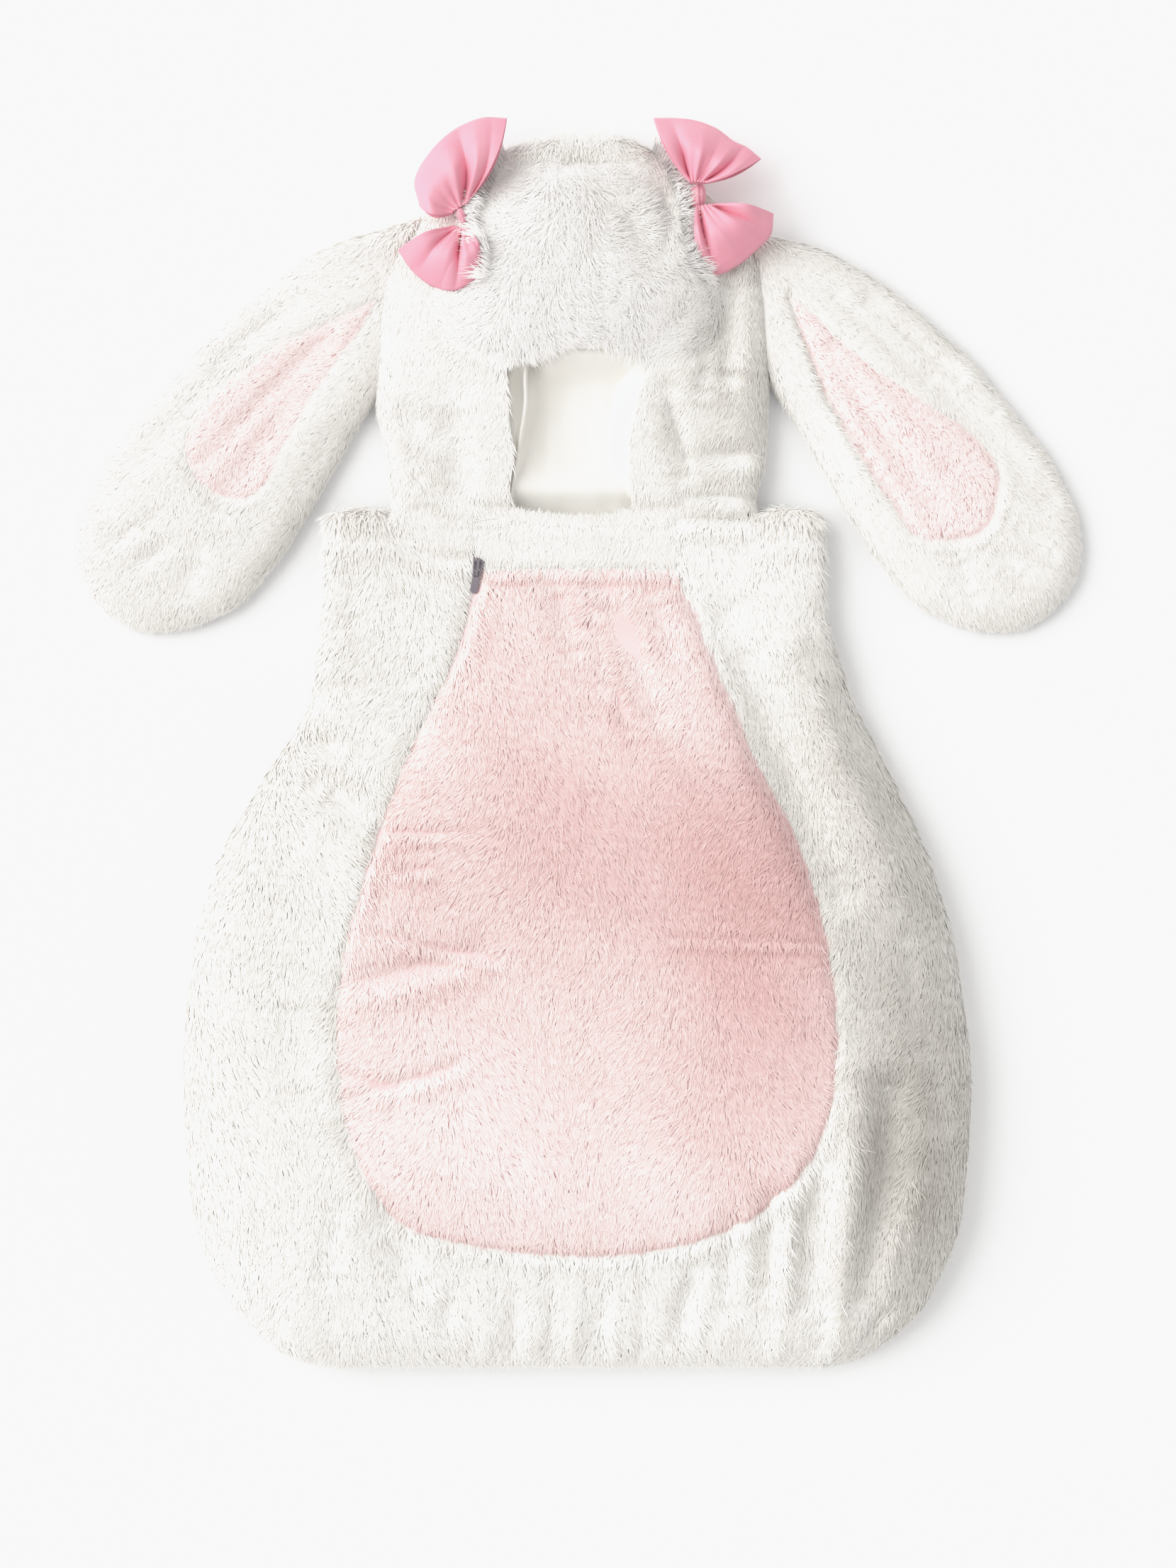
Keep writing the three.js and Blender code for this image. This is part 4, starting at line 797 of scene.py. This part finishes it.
def underside(form, y0, y1):
    """Lays a grid over the whole underside of a form."""
    def mapping(u, v):
        y = y0 + (y1 - y0) * v
        low, high = drawn_rim(form, PILE, y, "left", -1)[:, 0], drawn_rim(form, PILE, y, "right", 1)[:, 0]
        x = low + (high - low) * (0.5 - 0.5 * np.cos(np.pi * u))
        return x, y, form.under(x, y, PILE)
    return mapping


back = cloth("tunic_back_cloth", underside(tunic, HEM_Y + PILE, 138.5), 90, 140, WHITE_GROUND,
             wall=-WALL)

# the hood
face_sides = [tuple(p) for p in FACE_LINE if 152 < p[1] < 244]
face_side_left = [(-65.9, 119.6), (-64.3, 141.2), (-45, 142), (-44.8, 150)]
face_side_left += [p for p in face_sides if p[0] < 0]
face_side_right = [p for p in face_sides if p[0] > 0] + [(36.6, 150), (37, 142)]
inner_hood = np.vstack([spaced(face_side_left, 34), spaced(TUFT_LINE, 90), spaced(face_side_right, 34)])
hood_side_ys = np.concatenate([np.linspace(152, 340, 40), np.linspace(344, HOOD_TOP - PILE, 14)])
hood_left = drawn_rim(hood, PILE, hood_side_ys, "left", -1)
hood_right = drawn_rim(hood, PILE, hood_side_ys, "right", 1)[::-1]
flap_left = spaced([(-68.5, 119), (-92, 121), (-112, 131), tuple(hood_left[0])], 12)[:-1]
flap_right = spaced([tuple(hood_right[-1]), (98, 143), (76, 145), (62, 142)], 12)[1:]
hood_side = spaced(np.vstack([hood_left, [(0, HOOD_TOP - PILE)], hood_right]), 158 - 22)
outer_hood = np.vstack([flap_left, hood_side, flap_right])
hood_front = cloth("hood_front_cloth", between(inner_hood, outer_hood, on_form(hood)), 260, 30,
                   WHITE_GROUND)
tuft_in = inset_line(TUFT_LINE, -0.8, closed=False)
tuft = cloth("hood_tuft_cloth", filling(tuft_in, (4, 300), on_form(hood, tuft_in)), 160, 30, WHITE_GROUND)


hood_back = cloth("hood_back_cloth", underside(hood, 141, HOOD_TOP - PILE), 60, 60, WHITE_GROUND,
                  wall=-WALL)

LINING_FOLDS = [
    (-30, 240, -34, 160, 6, 3), (-6, 246, -10, 150, 8, -1.5), (18, 236, 12, 158, 7, 2),
    (30, 200, 26, 148, 5, 1.5), (-20, 200, -22, 146, 4, -1.2), (4, 170, 40, 150, 7, -1.2),
]


def lining_map(u, v):
    y = 132 + 129.5 * v
    left = column(FACE, "left", y) + 9
    right = column(FACE, "right", y) + 9
    x = -left + (left + right) * u
    floor_z = 10.2 + fold_height(LINING_FOLDS, x, y) + 0.5 * soft_noise(x, y, 34, 8)
    # It comes up to the edge of the opening, except in the hollow beside the flap on the zip side.
    right_edge = smooth((x - right + 26) / 17)
    upper_edge = smooth((y - 226) / 20) * smooth((x + 32) / 14)
    lower_edge = 0.9 * smooth((190 - y) / 30) * (1 - 0.6 * smooth((164 - y) / 22))
    from_flap = x + left - 9
    left_edge = (1 - smooth((from_flap - 1) / 11)) * (0.9 - 0.2 * smooth((y - 198) / 16))
    near = np.maximum(right_edge, upper_edge) * (1 - 0.7 * smooth((162 - y) / 18))
    near = np.max([near, lower_edge, left_edge], axis=0)
    roof = np.where(y > 146, hood.top(x, y, PILE) - 4.6,
                    tunic.top(x, y, PILE) - 4.6 - 1.4 * smooth((146 - y) / 8))
    return x, y, floor_z + (roof - floor_z) * near


lining = cloth("hood_lining_cloth", lining_map, 60, 60, LINING, wall=0.8)

# The lining's sewn edge stands up as a narrow strip beside the flap on the zip side.
edge_curve = curve([(-32.5, 250), (-33.2, 232), (-33.0, 214), (-36.2, 194), (-40.0, 171), (-44.2, 147),
                    (-45.5, 141)], 60)


def binding_map(u, v):
    p = partway(edge_curve, u)
    turn = (v - 0.5) * math.pi * 1.05
    wave = 0.25 * np.sin(u * 41) + 0.2 * np.sin(u * 17 + 1)
    ground = hood.top(p[:, 0], p[:, 1], PILE) - 7.5
    return p[:, 0] + (1.5 + 0.3 * wave) * np.sin(turn), p[:, 1], ground + (3.2 + wave) * np.cos(turn)


binding = cloth("face_edge_lining", binding_map, 100, 14, LINING, wall=0.6)

# the ears
ears = {}
for key, form in EAR_FORMS.items():
    hole = INSERT_LINES[key]
    # The rows of points draw closer together towards the round tip.
    to_tip = (1 - np.linspace(0, 1, 20)[1:]) ** 2
    rim_ys = np.concatenate([np.linspace(form.rows["y"][0] + PILE, EAR_TIP - 44, 44),
                             EAR_TIP - PILE - (44 - PILE) * to_tip])
    outer = drawn_rim(form, PILE, rim_ys, "outer", 1)
    inner = drawn_rim(form, PILE, rim_ys, "inner", -1)[::-1]
    rim = np.vstack([outer, inner])

    def placed(mapping, form=form):
        def moved(u, v):
            x, y, z = mapping(u, v)
            wx, wy = form.place(x, y)
            return wx, wy, z
        return moved

    ring_in = spaced(inset_line(hole, 0.5), 121, closed=True)
    ring_out = spaced(rim, 121, closed=True)
    front_map = between(ring_in, ring_out, lambda x, y, form=form: form.top(x, y, PILE))
    insert_map = filling(spaced(inset_line(hole, 0.4), 121, closed=True)[:-1],
                         (hole[:, 0].mean(), hole[:, 1].mean()),
                         lambda x, y, form=form: form.top(x, y, PILE))
    back_map = filling(spaced(rim, 121, closed=True)[:-1], (14, 150),
                       lambda x, y, form=form: form.under(x, y, PILE))
    ears[key] = {
        "front": cloth(f"ear_{key}_front_cloth", placed(front_map), 200, 24, WHITE_GROUND),
        "inside": cloth(f"ear_{key}_inside_cloth", placed(insert_map), 120, 20, PINK_GROUND),
        "back": cloth(f"ear_{key}_back_cloth", placed(back_map), 120, 24, WHITE_GROUND,
                      wall=-WALL),
        "hole": hole,
    }

# fur
band_area = [(ZIP_X, 112.3), (62, 112.3), (62, 141), (ZIP_X, 141)]


def clear_of_zip(x, y):
    return (to_line(x, y, zip_line) > 0.5) & (to_line(x, y, slider_pocket) > 2.5)


def on_front(x, y):
    return ((tunic.sample(tunic.depth, x, y) > 0.2) & ~inside(x, y, neck_area) & ~inside(x, y, BELLY_LINE)
            & ~inside(x, y, band_area) & clear_of_zip(x, y))


def on_belly(x, y):
    return inside(x, y, BELLY_LINE) & clear_of_zip(x, y)


def on_band(x, y):
    return inside(x, y, band_area) & clear_of_zip(x, y) & (y < band_edge(x))


def at_band_edge(x, y):
    return (y < band_edge(x)) & (y > band_edge(x) - 5) & (x > -46) & (x < 38)


def on_tunic_back(x, y):
    return (tunic.sample(tunic.depth, x, y) > 0.2) & ((y < 140) | ((np.abs(x) > 119) & (y < 150)))


def on_hood(x, y):
    return ((hood.sample(hood.depth, x, y) > 0.2) & inside(x, y, neck_area) & ~inside(x, y, FACE_LINE)
            & ~inside(x, y, TUFT_LINE) & (to_line(x, y, zip_line) > 2))


def on_tuft(x, y):
    return inside(x, y, TUFT_LINE) & ~inside(x, y, FACE_LINE)


def on_crown(x, y):
    return (hood.sample(hood.depth, x, y) > 0.5) & (y > 341 + 14 * (x / 60) ** 2)


def beside(line):
    return lambda x, y: to_line(x, y, line) < 3.0


def on_hood_back(x, y):
    return (hood.sample(hood.depth, x, y) > 0.2) & (y > 140.3)


# The tuft's long locks beside the bows lie over the satin's inner edges.
LEFT_BOW_EDGE = [(-47, 372), (-57, 348), (-61, 334), (-61, 322), (-56, 306), (-56, 294)]
RIGHT_BOW_EDGE = [(50, 376), (62, 352), (65, 338), (69, 308), (77, 294)]

coats = {
    "front": fur("tunic_front_pile", tunic, on_front, 98000, WHITE, length=11.0, width=1.15,
                 nap=WHITE_PAINTED_SHADING),
    # The belly's tint carries painted light and shade, with painted shade along its lower edge where it
    # curves under.
    "belly": fur("belly_pile", tunic, on_belly, 86000, PINK, box=((-150, -320), (165, 115)),
                 length=10.5, width=1.1, nap=PINK_PAINTED_SHADING, tone=(0.5, 0.95),
                 seam=(BELLY_LINE[BELLY_LINE[:, 1] < -262], 6, -0.45)),
    "band": fur("neck_band_pile", tunic, on_band, 6200, WHITE, box=((-68, 110), (64, 142)),
                length=9.0, width=1.1),
    "band_edge": fur("neck_band_edge_pile", tunic, at_band_edge, 1500, WHITE,
                     box=((-46, 133), (38, 145)), length=7.0, flow=(0, 1)),
    "back": fur("tunic_back_pile", tunic, on_tunic_back, 46000, WHITE, pile=2.0, width=1.3,
                below=True),
    "hood": fur("hood_front_pile", hood, on_hood, 50000, WHITE, length=9.0, nap=WHITE_PAINTED_SHADING),
    "tuft": fur("hood_tuft_pile", hood, on_tuft, 50000, LONG, box=((-92, 245), (92, 370)),
                pile=4.5, length=12.5, width=0.85, spread=1.6, clump=9, pull=0.5, wisps=0.3,
                nap=WHITE_PAINTED_SHADING),
    "crown": fur("hood_crown_pile", hood, on_crown, 11000, LONG, box=((-75, 341), (75, 386)),
                 pile=3.0, length=10.0, width=0.8, flow=(0.1, 1), spread=1.4, clump=9, pull=0.4,
                 wisps=0.2, nap=WHITE_PAINTED_SHADING),
    "bow_left_locks": fur("hood_bow_left_locks", hood, beside(LEFT_BOW_EDGE), 1500, LONG,
                          box=((-66, 290), (-43, 376)), pile=10.0, length=14.0, width=0.7,
                          flow=(-1, -0.3), spread=0.8, clump=8, pull=0.4, wisps=0.3, sunk=1.0),
    "bow_right_locks": fur("hood_bow_right_locks", hood, beside(RIGHT_BOW_EDGE), 1500, LONG,
                           box=((46, 290), (81, 380)), pile=10.0, length=12.0, width=0.7,
                           flow=(1, -0.3), spread=0.8, clump=8, pull=0.4, wisps=0.3, sunk=1.0),
    "hood_back": fur("hood_back_pile", hood, on_hood_back, 14000, WHITE, pile=2.0, width=1.3,
                     below=True),
}
for key, form in EAR_FORMS.items():
    hole = ears[key]["hole"]

    def off_hood(x, y, form=form):
        wx, wy = form.place(x, y)
        return ~inside(np.abs(wx), wy, hood.rim)

    def on_ear(x, y, form=form, hole=hole, off_hood=off_hood):
        return (form.sample(form.depth, x, y) > 0.2) & off_hood(x, y) & ~inside(x, y, hole)

    def on_insert(x, y, hole=hole):
        return inside(x, y, hole)

    def on_ear_back(x, y, form=form, off_hood=off_hood):
        return (form.sample(form.depth, x, y) > 0.2) & off_hood(x, y)

    ears[key]["coat"] = fur(f"ear_{key}_front_pile", form, on_ear, 36000, WHITE, flow=(0, 1))
    ears[key]["pink"] = fur(f"ear_{key}_inside_pile", form, on_insert, 10000, PINK,
                            box=(hole.min(0), hole.max(0)), length=6.0, flow=(0, 1), nap=EAR_PAINTED_LIGHT,
                            tone=(0.52, 1.0))
    ears[key]["nap"] = fur(f"ear_{key}_back_pile", form, on_ear_back, 10000, WHITE, pile=1.8,
                           width=1.3, flow=(0, 1), below=True)

# bows
# Each wing has its bulge, its pinched end, its far fold, and its pleats:
# where along the fold, how wide and how high.
BOWS = {
    "left": {"knot": (-73, 331.4, 20, 5.6, 3.6),
             "upper": (5, [(-69, 339.5), (-79, 333.5)],
                       [(-44.5, 393.6), (-62, 393.5), (-80.5, 384.5), (-94, 371), (-102.5, 355),
                        (-99.5, 338.5)],
                       [(0.32, 0.06, -7.5), (0.21, 0.045, 2.2), (0.09, 0.04, -2.6), (0.45, 0.07, 1.8),
                        (0.8, 0.1, -1.6)]),
             "lower": (2, [(-78, 325), (-68.5, 323)],
                       [(-113, 311), (-104, 298), (-90, 287.5), (-76, 285.5), (-61.5, 295), (-61, 305)],
                       [(0.22, 0.06, -4.0), (0.57, 0.05, -7.0), (0.67, 0.05, 2.0), (0.42, 0.08, 1.6),
                        (0.88, 0.05, -2.5)])},
    "right": {"knot": (75.8, 345, -4, 8.6, 6.4),
              "upper": (3, [(80.5, 352.2), (70.5, 352.6)],
                        [(115.5, 368), (107, 375), (98, 379.5), (86, 388), (70, 393), (47.7, 393.8)],
                        [(0.22, 0.07, -6.5), (0.88, 0.05, -6.0), (0.5, 0.07, -2.0), (0.66, 0.07, 2.0),
                         (0.36, 0.05, 1.2), (0.08, 0.05, 1.5)]),
              "lower": (2, [(74.5, 337.6), (86, 338.5)],
                        [(76, 306), (86, 295.5), (101, 301.5), (114.5, 313), (121.5, 321), (123.3, 333.5)],
                        [(0.2, 0.055, -7.5), (0.8, 0.08, -6.0), (0.62, 0.07, 2.0), (0.09, 0.05, 2.0),
                         (0.4, 0.06, 1.2)])},
}


def loop_map(neck, fold, bulge, pleats, seed):
    """A satin loop: out over the top, round its fold and back below, pleated towards the knot."""
    far = curve(fold, 81)
    local = np.random.default_rng(seed)
    shift, sway = local.uniform(0, 1), local.uniform(0.3, 0.7)

    def mapping(u, v):
        s, t = v, 1 - np.abs(2 * u - 1)
        over = u < 0.5
        stop = partway(far, s)
        start = np.array(neck[0]) * (1 - s[:, None]) + np.array(neck[1]) * s[:, None]
        out = unit(stop - start)
        p = start + (stop - start) * t[:, None]
        p += np.stack([out[:, 1], -out[:, 0]], 1) * (bulge * np.sin(np.pi * t) * (1 - 2 * s))[:, None]
        under = np.where(hood.sample(hood.depth, p[:, 0], p[:, 1]) > 0, hood.top(p[:, 0], p[:, 1]) + 0.6, 0)
        low = np.maximum(33.5 - 2.5 * t, under)
        rise = np.where(t < 0.5, 5.5 + 7.5 * smooth(2 * t), 13 - 9 * smooth(2 * t - 1))
        fade = np.sin(np.pi * np.clip(t, 0.12, 0.9))
        deep = smooth(t / 0.16) * (1 - 0.75 * smooth((t - 0.35) / 0.6))
        sway_in = 0.02 * np.sin(5 * t + seed)
        pleat = sum(high * np.exp(-np.abs((s - at - sway_in) / wide) ** 1.5)
                    for at, wide, high in pleats) * deep
        pleat += 0.8 * np.cos(2 * np.pi * (6.3 * s + shift) + 2 * t * sway) * np.clip(1 - 1.8 * t, 0, 1)
        crush = 0.35 * np.sin(9 * t + 5 * s + seed) * fade
        shut = np.sqrt(np.clip((1 - t) / 0.12, 0, 1))
        z = np.where(over, low + (rise + pleat + crush) * (0.25 + 0.75 * shut), low + 0.5)
        return p[:, 0], p[:, 1], z
    return mapping


bow_pieces = {}
for side, bow in BOWS.items():
    for number, wing in enumerate(("upper", "lower")):
        bulge, neck, fold, pleats = bow[wing]
        loop = loop_map(neck, fold, bulge, pleats, number + (3 if side == "left" else 9))
        made = cloth(f"bow_{side}_{wing}_satin", loop, 90, 110, SATIN, wall=0.7)
        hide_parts(f"bow_{side}_{wing}")
        bow_pieces[side, wing] = made
    kx, ky, turn, along, wide = bow["knot"]
    bm = bmesh.new()
    bmesh.ops.create_uvsphere(bm, u_segments=40, v_segments=24, radius=1)
    base = float(hood.top(np.array([kx]), np.array([ky]))[0]) + 7.6
    c, s = math.cos(math.radians(turn)), math.sin(math.radians(turn))
    for v in bm.verts:
        # A strap drawn tight: narrow at its middle, with the creases running along it.
        waist = 0.8 + 0.2 * v.co.y ** 2
        crease = 1 + 0.09 * math.cos(11 * v.co.x + 2 * v.co.y) * (1 - 0.5 * v.co.y ** 2)
        x, y, z = v.co.x * wide * waist, v.co.y * along, v.co.z * 5.6 * crease
        v.co = Vector((kx + x * c - y * s, ky + x * s + y * c, base + z)) * MM
    mesh = bpy.data.meshes.new(f"bow_{side}_knot_satin")
    bm.to_mesh(mesh)
    bm.free()
    for p in mesh.polygons:
        p.use_smooth = True
    knot = bpy.data.objects.new(mesh.name, mesh)
    scene.collection.objects.link(knot)
    finish_piece(knot, SATIN)
    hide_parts(f"bow_{side}_knot")

# zip
def tape_map(u, v):
    p = partway(zip_line, u)
    k = np.minimum((u * (len(zip_line) - 1)).astype(int), len(zip_line) - 2)
    d = unit(zip_line[k + 1] - zip_line[k])
    across = (v - 0.5) * 16
    x, y = p[:, 0] - d[:, 1] * across, p[:, 1] + d[:, 0] * across
    return x, y, tunic.top(p[:, 0], p[:, 1], 8) - 3.2 + 0 * across


tape = cloth("zip_tape_cloth", tape_map, 80, 8, TAPE, wall=0.8)

for name in ("zip_slider", "zip_pull_tab"):
    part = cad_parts[name]
    part.data.materials.clear()
    part.data.materials.append(METAL)

bm = bmesh.new()
run = spaced(zip_line, 90)
for number, (x, y) in enumerate(run[1:-1]):
    d = run[min(number + 2, 89)] - run[number]
    d /= np.linalg.norm(d)
    level = float(tunic.top(np.array([x]), np.array([y]), 8)[0]) - 2.2
    made = bmesh.ops.create_icosphere(bm, subdivisions=1, radius=0.7)["verts"]
    off = 0.55 if number % 2 else -0.55
    for v in made:
        aside = off + v.co.y * 1.6
        v.co = Vector((x - d[1] * aside + d[0] * v.co.x, y + d[0] * aside + d[1] * v.co.x,
                       level + 1.4 + v.co.z)) * MM
mesh = bpy.data.meshes.new("zip_teeth")
bm.to_mesh(mesh)
bm.free()
teeth = bpy.data.objects.new("zip_teeth", mesh)
scene.collection.objects.link(teeth)
finish_piece(teeth, TAPE)

# the CAD pieces that the cloth above stands in for are hidden
lay(["front_panel"])
lay(["belly_panel"])
lay(["neck_band"])
lay(["back_panel"])
lay(["hood_front"])
lay(["hood_tuft"])
lay(["hood_back"])
lay(["hood_lining"])
lay(["zip_tape"])
for key in ears:
    lay([f"ear_{key}_front"])
    lay([f"ear_{key}_inside"])
    lay([f"ear_{key}_back"])
